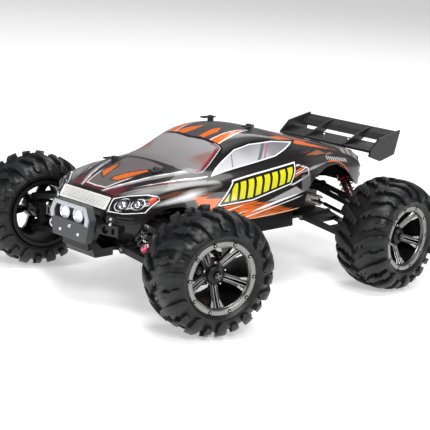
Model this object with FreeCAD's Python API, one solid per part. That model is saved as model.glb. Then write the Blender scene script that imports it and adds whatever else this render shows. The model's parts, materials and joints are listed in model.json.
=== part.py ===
"""Radio-controlled four-wheel-drive monster truck, modelled as an assembly of separate pieces.

Millimetres. +X is forward, +Y is the truck's left, +Z is up, and the ground is Z = 0. The model is drawn about
the point midway between the axles, and moved forward on export so that the origin is below the middle of its box.
The front wheels stand turned to the right by REST_STEER, and the suspension stands at full droop.
"""
import FreeCAD, Part

import math
import os

from FreeCAD import Vector

# ---- driving dimensions -------------------------------------------------------------------------------------
BOX_CENTRE_SHIFT = 13.3          # moves the midway point between the axles forward to centre the box
WHEELBASE = 192.0
TRACK = 196.0                    # between the tyres' middles
TYRE_D = 85.0
TYRE_W = 44.0
REST_STEER = -17.4               # degrees; negative turns the wheels to the right
KINGPIN_OFFSET = 14.0            # from the kingpin axis out to the tyre's middle

AXLE_X = {"f": WHEELBASE / 2 - 1.5, "r": -WHEELBASE / 2 - 1.5}
SIDES = {"l": 1, "r": -1}
CORNERS = ["fl", "fr", "rl", "rr"]
WHEEL_Z = TYRE_D / 2
PIVOT_Y = TRACK / 2 - KINGPIN_OFFSET

# parallel links: every link of a corner spans LINK from its inner to its outer pivot
LINK = Vector(0, 58, -11)
INNER_Y = PIVOT_Y - LINK.y
DIFF_Z = WHEEL_Z - LINK.z        # height of the gearbox outputs
LOWER_Z = WHEEL_Z - 12 - LINK.z  # inner lower hinge
UPPER_Z = WHEEL_Z + 12.5 - LINK.z
HINGE_R = 1.5
RUN = 0.08                       # radial clearance of a running fit
GAP = 0.3                        # side clearance between moving pieces

# steering: both cranks and both knuckle arms are STEER_ARM long and parallel
STEER_ARM = 14.0
TIE_Z = WHEEL_Z + 6.5            # outer tie-rod ball
CRANK_X = AXLE_X["f"] - 22.5
CRANK_Y = 10.0
LINK_PLATE_Z = TIE_Z - LINK.z - 4.5
BALL_R = 1.6

# drive line
SHAFT_R = 1.5
GEAR_MODULE = 0.6
SPUR_TEETH = 40
PINION_TEETH = 16
GEAR_CENTRES = GEAR_MODULE * (SPUR_TEETH + PINION_TEETH) / 2
MOTOR_ANGLE = 20.0
SPUR_X = -29.5
MOTOR_R = 13.2
DRIVE_PLUNGE = 1.25              # how far outboard of centre a drive shaft sits at droop

# dampers: lower eye on the arm, upper eye on the tower, both about an axis along X
SHOCK = {
    "f": {"dx": 13.2, "low": (51.5, 43.0), "top": (27.0, 72.5)},
    "r": {"dx": -16.6, "low": (58.5, 44.0), "top": (35.0, 77.5)},
}
EYE_R = 3.2
EYE_PIN_R = 1.2
EYE_SLACK = 0.4
SPRING_SEAT_R = 4.9

PLATE_Z = 38.0                   # underside of the chassis
PLATE_T = 2.5
X_AXIS, Y_AXIS, Z_AXIS = Vector(1, 0, 0), Vector(0, 1, 0), Vector(0, 0, 1)
ORIGIN = Vector(0, 0, 0)


# ---- helpers --------------------------------------------------------------------------------------------------
def block(x, y, z):
    """Box between the pairs x, y and z."""
    return Part.makeBox(x[1] - x[0], y[1] - y[0], z[1] - z[0], Vector(x[0], y[0], z[0]))


def rod(start, end, radius):
    """Solid cylinder from start to end."""
    start, end = Vector(start), Vector(end)
    return Part.makeCylinder(radius, (end - start).Length, start, end - start)


def cone(start, end, r1, r2):
    """Solid cone from start to end."""
    start, end = Vector(start), Vector(end)
    return Part.makeCone(r1, r2, (end - start).Length, start, end - start)


def ball(centre, radius):
    """Solid sphere."""
    return Part.makeSphere(radius, Vector(centre))


def prism(points, along):
    """Polygon face through the points, extruded along a vector."""
    wire = Part.makePolygon([Vector(p) for p in points] + [Vector(points[0])])
    return Part.Face(wire).extrude(Vector(along))


def plan(outline, z0, z1):
    """Outline in X and Y, extruded from z0 to z1."""
    return prism([(x, y, z0) for x, y in outline], (0, 0, z1 - z0))


def side(outline, y0, y1):
    """Outline in X and Z, extruded from y0 to y1."""
    return prism([(x, y0, z) for x, z in outline], (0, y1 - y0, 0))


def front(outline, x0, x1):
    """Outline in Y and Z, extruded from x0 to x1."""
    return prism([(x0, y, z) for y, z in outline], (x1 - x0, 0, 0))


def both(outline):
    """Half outline in the left (positive) half, closed by its mirror image."""
    return outline + [(-y, z) for y, z in reversed(outline)]


def both_plan(outline):
    """Half outline in X and Y with Y above zero, closed by its mirror image."""
    return outline + [(x, -y) for x, y in reversed(outline)]


def fuse(*shapes):
    """One solid from several, with its seams removed."""
    return shapes[0].multiFuse(list(shapes[1:])).removeSplitter() if len(shapes) > 1 else shapes[0]


def group(*shapes):
    """Separate solids that are kept in one node."""
    return Part.makeCompound([s for shape in shapes for s in shape.Solids])


def mirrored(shape):
    """Mirror image across the truck's middle plane."""
    return shape.mirror(ORIGIN, Y_AXIS)


def on_side(shape, sign):
    """A left-hand shape, mirrored where sign is negative."""
    return shape if sign > 0 else mirrored(shape)


def turned(shape, pivot, degrees, axis=Z_AXIS):
    """Copy of a shape turned about an axis through pivot."""
    copy = shape.copy()
    copy.rotate(Vector(pivot), axis, degrees)
    return copy


def revolved(profile):
    """Closed (radius, Y) profile spun about the Y axis."""
    points = [Vector(r, y, 0) for r, y in profile]
    wire = Part.makePolygon(points + [points[0]])
    return Part.Face(wire).revolve(ORIGIN, Y_AXIS, 360)


def ring_of(shape, count, axis=Y_AXIS, centre=ORIGIN):
    """Copies of a shape spaced evenly about an axis."""
    return [turned(shape, centre, 360.0 * i / count, axis) for i in range(count)]


# ---- wheels, drawn about their own middle with the outer face towards +Y ------------------------------------------
RIM_R = 24.5                     # bead seat, where the tyre sits on the rim
RING_R = 25.5                    # outer edge of the screwed ring
RING_IN = 21.5
FACE_Y = 19.0                    # outer face of the ring
BACK_Y = -TYRE_W / 2
HUB_Y = (-2.0, 6.0)              # the wheel's hub disc
HUB_R = 7.0
AXLE_R = 2.0
SPOKES = 5


def tyre():
    """Hollow rubber tyre with shoulder blocks, open towards the rim."""
    half, top = TYRE_W / 2, TYRE_D / 2
    outer = [(RIM_R, -half + 1.75), (RING_R + 0.05, -half + 1.25), (RING_R + 0.05, -half), (RIM_R + 4, -half),
             (top - 7, -half + 0.6), (top - 2.2, -half + 4), (top - 1.2, -8), (top - 1.2, 8),
             (top - 2.2, half - 4), (top - 7, half - 0.6), (RIM_R + 4, half),
             (RING_R + 0.05, half - 2), (RING_R + 0.05, FACE_Y - 1.85), (RIM_R, FACE_Y - 2.25)]
    inner = [(RIM_R, half - 7.5), (top - 9, half - 5), (top - 5.5, half - 9),
             (top - 5.5, -half + 9), (top - 9, -half + 4), (RIM_R, -half + 3.5)]
    body = revolved(outer + inner)
    lug = block((-4, 4), (-half + 4.5, half - 4.5), (top - 4, top)).common(
        Part.makeCylinder(top, TYRE_W, Vector(0, -half, 0), Y_AXIS))
    return body.multiFuse(ring_of(lug, 18)).removeSplitter()


def spoke():
    """One bar of a spoke pair, dished from the hub up to the rim."""
    web = prism([(5.0, HUB_Y[0] + 2, -1.1), (5.0, HUB_Y[1], -1.1), (RIM_R - 1.6, 16.5, -1.1),
                 (RIM_R - 1.6, 9.0, -1.1)], (0, 0, 2.2))
    return [turned(web, ORIGIN, lean, Y_AXIS) for lean in (-13, 13)]


def rim():
    """Deep wheel with a bead ring and five pairs of spokes, plus its axle with hex, nut and ring screws."""
    barrel = revolved([(RIM_R - 2, BACK_Y), (RING_R, BACK_Y), (RING_R, BACK_Y + 1.2), (RIM_R, BACK_Y + 1.7),
                       (RIM_R, FACE_Y - 2.2), (RING_R, FACE_Y - 1.8), (RING_R, FACE_Y), (RING_IN, FACE_Y),
                       (RING_IN, FACE_Y - 2), (RIM_R - 2, FACE_Y - 3)])
    hub = rod((0, HUB_Y[0], 0), (0, HUB_Y[1], 0), HUB_R)
    bars = [turned(bar, ORIGIN, 90 + 360.0 * i / SPOKES, Y_AXIS) for i in range(SPOKES) for bar in spoke()]
    wheel = barrel.multiFuse([hub] + bars).removeSplitter()
    wheel = wheel.cut(rod((0, HUB_Y[0] - 1, 0), (0, HUB_Y[1] + 1, 0), AXLE_R))
    hexagon = prism([(6 * math.cos(math.radians(60 * i)), HUB_Y[0] - 3.5, 6 * math.sin(math.radians(60 * i)))
                     for i in range(6)], (0, 3.5, 0))
    hexagon = hexagon.cut(rod((0, HUB_Y[0] - 5, 0), (0, HUB_Y[0] + 1, 0), AXLE_R))
    nut = fuse(rod((0, HUB_Y[1], 0), (0, HUB_Y[1] + 1.2, 0), 4.6),
               prism([(3.9 * math.cos(math.radians(60 * i)), HUB_Y[1] + 1.2, 3.9 * math.sin(math.radians(60 * i)))
                      for i in range(6)], (0, 3.3, 0)))
    nut = nut.cut(rod((0, HUB_Y[1] - 1, 0), (0, HUB_Y[1] + 6, 0), AXLE_R))
    screws = ring_of(rod(((RING_R + RING_IN) / 2, FACE_Y, 0), ((RING_R + RING_IN) / 2, FACE_Y + 0.5, 0), 1.0), 10)
    return group(wheel, hexagon, nut, stub_axle(), *screws)


CUP_R = 4.8                      # outer drive cup, centred on the kingpin
CUP_BORE = 3.6
CUP_MOUTH = -2.2
CUP_BACK = 5.2


def slotted_cup(radius, bore, mouth, floor, back, slot):
    """Cup about the Y axis, open at mouth, with two slots for a drive shaft's cross pin."""
    cup = rod((0, mouth, 0), (0, back, 0), radius)
    cup = cup.cut(rod((0, min(mouth, floor) - (1 if mouth < floor else 0), 0),
                      (0, max(mouth, floor) + (1 if mouth > floor else 0), 0), bore))
    low, high = sorted((mouth + (1 if mouth > floor else -1), floor))
    return cup.cut(block((-radius - 1, radius + 1), (low, high), (-slot, slot)))


def stub_axle():
    """Wheel axle: drive cup at the kingpin, shaft out through the knuckle, hex and wheel."""
    cup = slotted_cup(CUP_R, CUP_BORE, CUP_MOUTH, CUP_BACK - 1, CUP_BACK, 1.6)
    shaft = rod((0, CUP_BACK, 0), (0, HUB_Y[1] + KINGPIN_OFFSET + 5.2, 0), AXLE_R)
    axle = fuse(cup, shaft)
    axle.translate(Vector(0, -KINGPIN_OFFSET, 0))
    return axle


def wheel_place(shape, corner):
    """Moves a wheel piece to its corner, steered where the corner is a front one."""
    sign = SIDES[corner[1]]
    placed = shape.copy()
    placed.translate(Vector(AXLE_X[corner[0]], TRACK / 2, WHEEL_Z))
    placed = on_side(placed, sign)
    return steered(placed, corner) if corner[0] == "f" else placed


def steered(shape, corner):
    """Turns a front shape about its kingpin to the resting steering angle."""
    return turned(shape, (AXLE_X["f"], SIDES[corner[1]] * PIVOT_Y, 0), REST_STEER)


# ---- suspension ------------------------------------------------------------------------------------------------
def hinge_point(z_inner, outer=False):
    """Inner or outer pivot of a left-hand link, relative to its axle."""
    inner = Vector(0, INNER_Y, z_inner)
    return inner + LINK if outer else inner


def link_arm(z_inner, half_in, half_out, thick):
    """A-arm between two ears at each end, with its outer hinge pin."""
    a, b = hinge_point(z_inner), hinge_point(z_inner, True)
    ears = []
    for point, half, lug in ((a, half_in, 3.2), (b, half_out, 3.0)):
        for s in (-1, 1):
            ears.append(rod(point + Vector(s * half, 0, 0), point + Vector(s * (half - 3.2), 0, 0), lug))
    slope = LINK.z / LINK.y
    plate_in, plate_out = a.y + 4.6, b.y - 12.6

    def height(y):
        return a.z + (y - a.y) * slope

    rails = []
    for s in (-1, 1):
        x_in, x_out = s * half_in, s * half_out
        rails.append(prism([(x_in, a.y, height(a.y) - thick / 2), (x_in - s * 3.2, a.y, height(a.y) - thick / 2),
                            (x_out - s * 3.2, b.y, height(b.y) - thick / 2), (x_out, b.y, height(b.y) - thick / 2)],
                           (0, 0, thick)))
    webs = []
    for share0, share1 in ((0.0, 0.16), (0.46, 0.56), (0.86, 1.0)):
        y0 = plate_in + (plate_out - plate_in) * share0
        y1 = plate_in + (plate_out - plate_in) * share1
        w0 = half_in + (half_out - half_in) * (y0 - a.y) / LINK.y - 0.6
        w1 = half_in + (half_out - half_in) * (y1 - a.y) / LINK.y - 0.6
        webs.append(prism([(-w0, y0, height(y0) - thick / 2 + 0.5), (w0, y0, height(y0) - thick / 2 + 0.5),
                           (w1, y1, height(y1) - thick / 2 + 0.5), (-w1, y1, height(y1) - thick / 2 + 0.5)],
                          (0, 0, thick - 1)))
    arm = fuse(*(ears + rails + webs))
    arm = arm.cut(rod(a + Vector(-40, 0, 0), a + Vector(40, 0, 0), HINGE_R + RUN))
    arm = arm.cut(rod(b + Vector(-40, 0, 0), b + Vector(40, 0, 0), HINGE_R))
    return arm


def outer_pin(z_inner, half_out):
    """Hinge pin that an arm carries at its outer end."""
    b = hinge_point(z_inner, True)
    return rod(b + Vector(-half_out - 0.6, 0, 0), b + Vector(half_out + 0.6, 0, 0), HINGE_R)


LOWER_HALF = (17.0, 8.2)
UPPER_HALF = (7.4, 8.2)


def shock_lug(end):
    """Post on the lower arm that carries the damper's lower eye, with its pin."""
    y, z = SHOCK[end]["low"]
    dx = SHOCK[end]["dx"]
    sign = 1 if dx > 0 else -1
    inboard = sign * (abs(dx) - 4.2)
    arm_z = LOWER_Z + (y - INNER_Y) * LINK.z / LINK.y
    post = prism([(min(inboard, inboard - sign * 3), y - 4.5, arm_z - 1.5), (min(inboard, inboard - sign * 3), y + 4.5,
                  arm_z - 2.5), (min(inboard, inboard - sign * 3), y + 3, z + 2.2),
                  (min(inboard, inboard - sign * 3), y - 3, z + 2.2)], (3, 0, 0))
    pin = rod((inboard - sign * 1.0, y, z), (dx + sign * 3.0, y, z), EYE_PIN_R)
    return fuse(post, pin)


def lower_arm(corner):
    """Lower arm with the damper's lug, and its outer pin as a separate solid."""
    arm = fuse(link_arm(LOWER_Z, *LOWER_HALF, 4.4), shock_lug(corner[0]))
    shape = group(arm, outer_pin(LOWER_Z, LOWER_HALF[1]))
    shape.translate(Vector(AXLE_X[corner[0]], 0, 0))
    return on_side(shape, SIDES[corner[1]])


def upper_arm(corner):
    """Upper arm and its outer pin."""
    shape = group(link_arm(UPPER_Z, *UPPER_HALF, 3.4), outer_pin(UPPER_Z, UPPER_HALF[1]))
    shape.translate(Vector(AXLE_X[corner[0]], 0, 0))
    return on_side(shape, SIDES[corner[1]])


EAR_HALF = UPPER_HALF[1] - 3.2 - GAP
KNUCKLE_R = 6.2
HOUSING_OUT = KINGPIN_OFFSET + HUB_Y[0] - 3.5 - GAP
LUG_R = 3.0


def pivot_lugs():
    """Upper and lower hinge lugs of a hub carrier, drawn about the axle with Y from the kingpin."""
    up, low = 12.5, -12.0
    top = fuse(rod((-EAR_HALF, 0, up), (EAR_HALF, 0, up), LUG_R),
               block((-EAR_HALF, EAR_HALF), (-LUG_R, LUG_R), (8.5, up)))
    bottom = fuse(rod((-EAR_HALF, 0, low), (EAR_HALF, 0, low), LUG_R),
                  block((-EAR_HALF, EAR_HALF), (-LUG_R, LUG_R), (low, -8)))
    bores = [rod((-9, 0, z), (9, 0, z), HINGE_R + RUN) for z in (up, low)]
    return top, bottom, bores


def caster_block():
    """C-shaped front hub carrier that holds the steering knuckle between its ears."""
    top, bottom, bores = pivot_lugs()
    ears = [block((-6, 6), (-11, 4.5), (KNUCKLE_R + GAP, 9.1)),
            block((-EAR_HALF, EAR_HALF), (-11, 4.5), (-8.6, -KNUCKLE_R - GAP))]
    back = block((-8.5, 8.5), (-11, -7.5), (-6.9, 9.1))
    shape = fuse(top, bottom, back, *ears)
    shape = shape.cut(rod((0, -12, 1.8), (0, -7, 1.8), 6.0))
    for bore in bores:
        shape = shape.cut(bore)
    return shape.cut(rod((0, 0, -9), (0, 0, 9), HINGE_R + RUN))


def axle_housing(inboard):
    """Round housing for the wheel axle and its drive cup."""
    shape = rod((0, inboard, 0), (0, HOUSING_OUT, 0), KNUCKLE_R)
    shape = shape.cut(rod((0, inboard - 1, 0), (0, CUP_BACK + GAP, 0), CUP_R + GAP))
    return shape.cut(rod((0, CUP_BACK, 0), (0, 11, 0), AXLE_R + RUN))


def knuckle():
    """Steering knuckle: axle housing, kingpin studs and the rearward steering arm with its ball."""
    housing = axle_housing(-3.6)
    studs = [rod((0, 0, s * (KNUCKLE_R - 0.6)), (0, 0, s * 8.8), HINGE_R) for s in (-1, 1)]
    arm = block((-STEER_ARM - 2.2, -5.4), (-2.4, 2.4), (1.2, 4.0))
    pin = rod((-STEER_ARM, 0, 3.5), (-STEER_ARM, 0, TIE_Z - WHEEL_Z), 0.8)
    end = ball((-STEER_ARM, 0, TIE_Z - WHEEL_Z), BALL_R)
    return fuse(housing, arm, pin, end, *studs)


def rear_carrier():
    """Rear hub carrier: both hinge lugs and the axle housing in one piece."""
    top, bottom, bores = pivot_lugs()
    shape = fuse(rod((0, -3.6, 0), (0, HOUSING_OUT, 0), KNUCKLE_R),
                 block((-EAR_HALF, EAR_HALF), (-LUG_R, LUG_R), (-9, 9)),
                 top, bottom)
    shape = shape.cut(rod((0, -5, 0), (0, CUP_BACK + GAP, 0), CUP_R + GAP))
    shape = shape.cut(rod((0, CUP_BACK, 0), (0, 11, 0), AXLE_R + RUN))
    for bore in bores:
        shape = shape.cut(bore)
    return shape


def at_pivot(shape, corner):
    """Moves a piece drawn about the kingpin and axle height to its corner."""
    placed = shape.copy()
    placed.translate(Vector(AXLE_X[corner[0]], PIVOT_Y, WHEEL_Z))
    return on_side(placed, SIDES[corner[1]])


def drive_shaft(corner):
    """Half shaft between the gearbox cup and the wheel's cup, with a ball and cross pin at each end."""
    inner = Vector(0, INNER_Y + DRIVE_PLUNGE, DIFF_Z)
    outer = inner + LINK
    along = Vector(LINK)
    along.normalize()
    neck = 7.5
    shape = fuse(rod(inner, outer, 0.9), rod(inner + along * neck, outer - along * neck, SHAFT_R),
                 ball(inner, 2.3), ball(outer, 2.3),
                 rod(inner - Vector(3.6, 0, 0), inner + Vector(3.6, 0, 0), 0.7),
                 rod(outer - Vector(4.0, 0, 0), outer + Vector(4.0, 0, 0), 0.7))
    shape.translate(Vector(AXLE_X[corner[0]], 0, 0))
    return on_side(shape, SIDES[corner[1]])


def shock_ends(corner):
    """Upper and lower eye centres of a left-hand damper."""
    spec = SHOCK[corner[0]]
    x = AXLE_X[corner[0]] + spec["dx"]
    return Vector(x, *spec["top"]), Vector(x, *spec["low"])


def shock_body(corner):
    """Damper cylinder with its upper eye, cap and spring collar."""
    top, low = shock_ends(corner)
    along = low - top
    length = along.Length
    along.normalize()
    half = 2.6
    eye = rod(top - X_AXIS * half, top + X_AXIS * half, EYE_R)
    shape = fuse(eye, rod(top + along * 2.0, top + along * 6.0, 4.2),
                 rod(top + along * 5.5, top + along * 7.5, SPRING_SEAT_R),
                 rod(top + along * 7.0, top + along * (length * 0.58), 3.7))
    shape = shape.cut(rod(top + along * 9.0, top + along * (length + 1), 1.3))
    shape = shape.cut(rod(top - X_AXIS * 5, top + X_AXIS * 5, EYE_PIN_R + RUN))
    return on_side(shape, SIDES[corner[1]])


def shock_rod(corner):
    """Piston rod with the lower eye and spring cup. The eye's slotted bore clears its pin over the travel."""
    top, low = shock_ends(corner)
    along = low - top
    length = along.Length
    along.normalize()
    half = 2.4
    eye = rod(low - X_AXIS * half, low + X_AXIS * half, EYE_R)
    shape = fuse(eye, rod(top + along * (length * 0.58 - 3.5), low - along * 2.0, 1.1),
                 rod(low - along * 6.5, low - along * 4.8, SPRING_SEAT_R),
                 rod(low - along * 5.5, low - along * 2.0, 3.0))
    shape = shape.cut(rod(low - X_AXIS * 5, low + X_AXIS * 5, EYE_PIN_R + EYE_SLACK))
    return on_side(shape, SIDES[corner[1]])


# ---- steering linkage -----------------------------------------------------------------------------------------
def arm_end(pivot_x, pivot_y, z):
    """Where a rearward arm's end stands at the resting steering angle."""
    angle = math.radians(REST_STEER)
    return Vector(pivot_x - STEER_ARM * math.cos(angle), pivot_y - STEER_ARM * math.sin(angle), z)


def crank(y):
    """Horn or idler: a hub on its post and an arm to a pin in the drag link."""
    z = LINK_PLATE_Z + 2.0
    hub = rod((CRANK_X, y, z + GAP), (CRANK_X, y, z + 3.8), 3.4)
    arm = block((CRANK_X - STEER_ARM - 2.4, CRANK_X), (y - 1.9, y + 1.9), (z + GAP, z + 2.3))
    pin = rod((CRANK_X - STEER_ARM, y, LINK_PLATE_Z - 0.4), (CRANK_X - STEER_ARM, y, z + 1), 1.2)
    shape = fuse(hub, arm, pin).cut(rod((CRANK_X, y, z - 1), (CRANK_X, y, z + 2.6), 2.0 + RUN))
    return turned(shape, (CRANK_X, y, 0), REST_STEER)


def drag_link():
    """Wide link between the cranks with a ball at each end for the tie rods."""
    tie_x, tie_y = AXLE_X["f"] - STEER_ARM, INNER_Y
    hole_x = CRANK_X - STEER_ARM
    bar = block((hole_x - 3, hole_x + 3), (-tie_y - 2.6, tie_y + 2.6), (LINK_PLATE_Z, LINK_PLATE_Z + 2))
    parts = [bar]
    for s in (-1, 1):
        y0, y1 = sorted((s * (tie_y - 2.6), s * (tie_y + 2.6)))
        parts.append(block((hole_x - 3, tie_x + 2.4), (y0, y1), (LINK_PLATE_Z, LINK_PLATE_Z + 2)))
        parts.append(rod((tie_x, s * tie_y, LINK_PLATE_Z + 1), (tie_x, s * tie_y, TIE_Z - LINK.z), 0.8))
        parts.append(ball((tie_x, s * tie_y, TIE_Z - LINK.z), BALL_R))
    shape = fuse(*parts)
    for s in (-1, 1):
        shape = shape.cut(rod((hole_x, s * CRANK_Y, LINK_PLATE_Z - 1), (hole_x, s * CRANK_Y, LINK_PLATE_Z + 3),
                              1.2 + RUN))
    shape.translate(arm_end(0, 0, 0) + Vector(STEER_ARM, 0, 0))
    return shape


def tie_rod(corner):
    """Tie rod with an eye round the ball at each end."""
    inner = Vector(AXLE_X["f"] - STEER_ARM, INNER_Y, TIE_Z - LINK.z)
    outer = inner + LINK
    along = Vector(LINK)
    along.normalize()
    parts = [rod(inner + along * 2.4, outer - along * 2.4, 1.3)]
    for point, s in ((inner, 1), (outer, -1)):
        parts.append(rod(point - Z_AXIS * 1.2, point + Z_AXIS * 1.2, 3.0))
        parts.append(rod(point + along * (s * 2.4), point + along * (s * 11), 2.0))
    shape = fuse(*parts)
    for point in (inner, outer):
        shape = shape.cut(rod(point - Z_AXIS * 3, point + Z_AXIS * 3, BALL_R + 0.25))
    shape = on_side(shape, SIDES[corner[1]])
    shape.translate(arm_end(0, 0, 0) + Vector(STEER_ARM, 0, 0))
    return shape


def steering_servo():
    """Servo under the drag link, with its output spline up through the horn."""
    body = block((CRANK_X - 16, CRANK_X + 7), (CRANK_Y - 6.2, CRANK_Y + 6.2), (PLATE_Z + PLATE_T, LINK_PLATE_Z - 2.5))
    tabs = block((CRANK_X - 20, CRANK_X + 9.5), (CRANK_Y - 5.5, CRANK_Y + 5.5), (46.5, 48.0))
    spline = rod((CRANK_X, CRANK_Y, LINK_PLATE_Z - 3), (CRANK_X, CRANK_Y, LINK_PLATE_Z + 4.4), 2.0)
    return fuse(body, tabs, spline)


# ---- drive line -----------------------------------------------------------------------------------------------
def spur_wheel(teeth, thick, shift):
    """Toothed disc about the X axis, short teeth with backlash. shift turns it by a share of a tooth."""
    pitch = GEAR_MODULE * teeth / 2
    root, tip = pitch - 0.85 * GEAR_MODULE, pitch + 0.55 * GEAR_MODULE
    points = []
    for i in range(teeth):
        centre = 2 * math.pi * (i + shift) / teeth
        for radius, share in ((root, -0.32), (pitch, -0.20), (tip, -0.10), (tip, 0.10), (pitch, 0.20), (root, 0.32)):
            angle = centre + share * 2 * math.pi / teeth
            points.append((0, radius * math.cos(angle), radius * math.sin(angle)))
    return prism(points, (thick, 0, 0))


def centre_shaft():
    """Shaft from gearbox to gearbox with a bevel pinion at each end, and the spur gear on it."""
    reach = AXLE_X["f"] - 7.6, AXLE_X["r"] + 7.6
    shaft = rod((reach[1], 0, DIFF_Z), (reach[0], 0, DIFF_Z), SHAFT_R)
    bevels = [cone((x, 0, DIFF_Z), (x - s * 3.0, 0, DIFF_Z), 2.4, 3.4) for x, s in ((reach[0], 1), (reach[1], -1))]
    gear = spur_wheel(SPUR_TEETH, 5.0, 0.0)
    gear.translate(Vector(SPUR_X, 0, DIFF_Z))
    boss = rod((SPUR_X - 2.5, 0, DIFF_Z), (SPUR_X + 7.5, 0, DIFF_Z), 4.0)
    gear = fuse(gear, boss)
    holes = [rod((SPUR_X - 1, 8 * math.cos(math.radians(a)), DIFF_Z + 8 * math.sin(math.radians(a))),
                 (SPUR_X + 6, 8 * math.cos(math.radians(a)), DIFF_Z + 8 * math.sin(math.radians(a))), 1.6)
             for a in range(0, 360, 60)]
    for hole in holes:
        gear = gear.cut(hole)
    gear = gear.cut(rod((SPUR_X - 5, 0, DIFF_Z), (SPUR_X + 9, 0, DIFF_Z), SHAFT_R))
    return group(fuse(shaft, *bevels), gear)


def motor_centre():
    """Axis of the motor in Y and Z."""
    angle = math.radians(MOTOR_ANGLE)
    return -GEAR_CENTRES * math.cos(angle), DIFF_Z + GEAR_CENTRES * math.sin(angle)


def motor_pinion():
    """Brass pinion on the motor's shaft, turned so that its teeth stand in the spur gear's gaps."""
    y, z = motor_centre()
    pinion = spur_wheel(PINION_TEETH, 6.0, 0.0)
    line = math.degrees(math.atan2(z - DIFF_Z, y))
    spur_phase = (line * SPUR_TEETH / 360.0) % 1.0
    own_phase = ((line + 180.0) * PINION_TEETH / 360.0) % 1.0
    pinion = turned(pinion, ORIGIN, (spur_phase + own_phase - 0.5) * 360.0 / PINION_TEETH, X_AXIS)
    pinion.translate(Vector(SPUR_X - 0.5, y, z))
    shaft = rod((SPUR_X - 4.0, y, z), (SPUR_X + 6.5, y, z), 1.2)
    return fuse(pinion, shaft)


def motor():
    """Motor can, end bell and terminals."""
    y, z = motor_centre()
    front_x = SPUR_X - 4.5
    can = rod((front_x - 34, y, z), (front_x, y, z), MOTOR_R)
    bell = rod((front_x - 39, y, z), (front_x - 34, y, z), MOTOR_R - 1.2)
    tabs = [block((front_x - 42, front_x - 38.5), (y + s * 7 - 1.5, y + s * 7 + 1.5), (z - 0.5, z + 0.5))
            for s in (-1, 1)]
    return fuse(can, bell, *tabs).cut(rod((front_x - 3, y, z), (front_x + 1, y, z), 1.5))


def differential(end):
    """Ring gear, housing and both output cups, which turn together. The rear ring sits on the other side."""
    x = AXLE_X[end]
    ring = rod((0, 3.9, 0), (0, 6.5, 0), 10.6).cut(cone((0, 3.8, 0), (0, 5.0, 0), 8.6, 6.0))
    core = rod((0, -9.5, 0), (0, 9.5, 0), 6.2)
    core = core.cut(block((-12, 12), (-1.0, 3.85), (-12, 12)).cut(rod((0, -1.0, 0), (0, 3.85, 0), 3.0)))
    cups = []
    for s in (-1, 1):
        cup = slotted_cup(4.4, 3.2, s * (INNER_Y + 4.0), s * (INNER_Y - 4.0), s * 9.0, 1.3)
        cups.append(cup)
    shape = fuse(ring, core, *cups)
    shape = shape if end == "f" else mirrored(shape)
    shape.translate(Vector(x, 0, DIFF_Z))
    return shape


def gearbox(end):
    """Hollow gearbox case with the arms' hinge lugs and a bearing hole for each shaft."""
    x = AXLE_X[end]
    sign = 1 if end == "f" else -1
    outer = block((x - 12.5, x + 12.5), (-16, 16), (PLATE_Z + PLATE_T, UPPER_Z + 1.5))
    cavity = block((x - 11, x + 11), (-11, 11), (DIFF_Z - 11, DIFF_Z + 11))
    lower = fuse(block((x - 13.0, x + 13.0), (18.2, INNER_Y), (PLATE_Z + PLATE_T, LOWER_Z + 3.2)),
                 rod((x - 13.0, INNER_Y, LOWER_Z), (x + 13.0, INNER_Y, LOWER_Z), 3.2),
                 block((x - 13.0, x + 13.0), (15, 19), (PLATE_Z + PLATE_T, LOWER_Z + 3.2)))
    upper = fuse(block((x - 3.9, x + 3.9), (15, INNER_Y), (UPPER_Z - 3.2, UPPER_Z + 3.2)),
                 rod((x - 3.9, INNER_Y, UPPER_Z), (x + 3.9, INNER_Y, UPPER_Z), 3.2))
    shape = fuse(outer, lower, mirrored(lower), upper, mirrored(upper))
    shape = shape.cut(cavity)
    shape = shape.cut(rod((x, -20, DIFF_Z), (x, 20, DIFF_Z), 4.4 + RUN))
    shape = shape.cut(rod((x, 0, DIFF_Z), (x - sign * 20, 0, DIFF_Z), SHAFT_R + RUN))
    for s in (-1, 1):
        for z in (LOWER_Z, UPPER_Z):
            shape = shape.cut(rod((x - 30, s * INNER_Y, z), (x + 30, s * INNER_Y, z), HINGE_R))
    return shape


TOWER = {"f": (4.1, 6.7), "r": (-9.4, -11.4)}


def shock_tower(end):
    """Tower plate standing on the gearbox, with the dampers' upper pins."""
    x = AXLE_X[end]
    x0, x1 = sorted((x + TOWER[end][0], x + TOWER[end][1]))
    y, z = SHOCK[end]["top"]
    foot = UPPER_Z + 1.5
    low = max(foot + 2.7, z - 10.0)
    outline = both([(14.5, foot), (14.5, low), (y + 1.0, z - 3.2), (y + 3.2, z), (y + 2.0, z + 3.2), (y - 5, z + 4.2),
                    (y - 12, z + 0.5)])
    plate = front(outline, x0, x1)
    if end == "r":
        plate = plate.cut(front(both([(9, foot + 3.5), (19, z - 5), (17, z - 2.6), (9, z - 3)]), x0 - 1, x1 + 1))
    sign = 1 if end == "f" else -1
    pins = [rod((x0, s * y, z), (x + SHOCK[end]["dx"] + sign * 3.2, s * y, z), EYE_PIN_R) for s in (-1, 1)]
    return fuse(plate, *pins)


POSTS = {"f": (79.5, 22.0, 94.85), "r": (-15.5, 20.0, 119.25)}
CLIP_DROP = 0.9                  # clip holes below the posts' shoulders
POST_R = 2.4
BRIDGE_X = (AXLE_X["f"] - 3, AXLE_X["f"] + 3)


def body_post(x, y, foot_z, top_z):
    """Round post with a cross hole for a clip above the shell."""
    post = fuse(rod((x, y, foot_z), (x, y, top_z), POST_R), cone((x, y, top_z), (x, y, top_z + 0.5), POST_R, 1.8))
    return post.cut(rod((x - 4, y, top_z - CLIP_DROP), (x + 4, y, top_z - CLIP_DROP), 0.75))


def front_tower():
    """Front tower."""
    return shock_tower("f")


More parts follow.
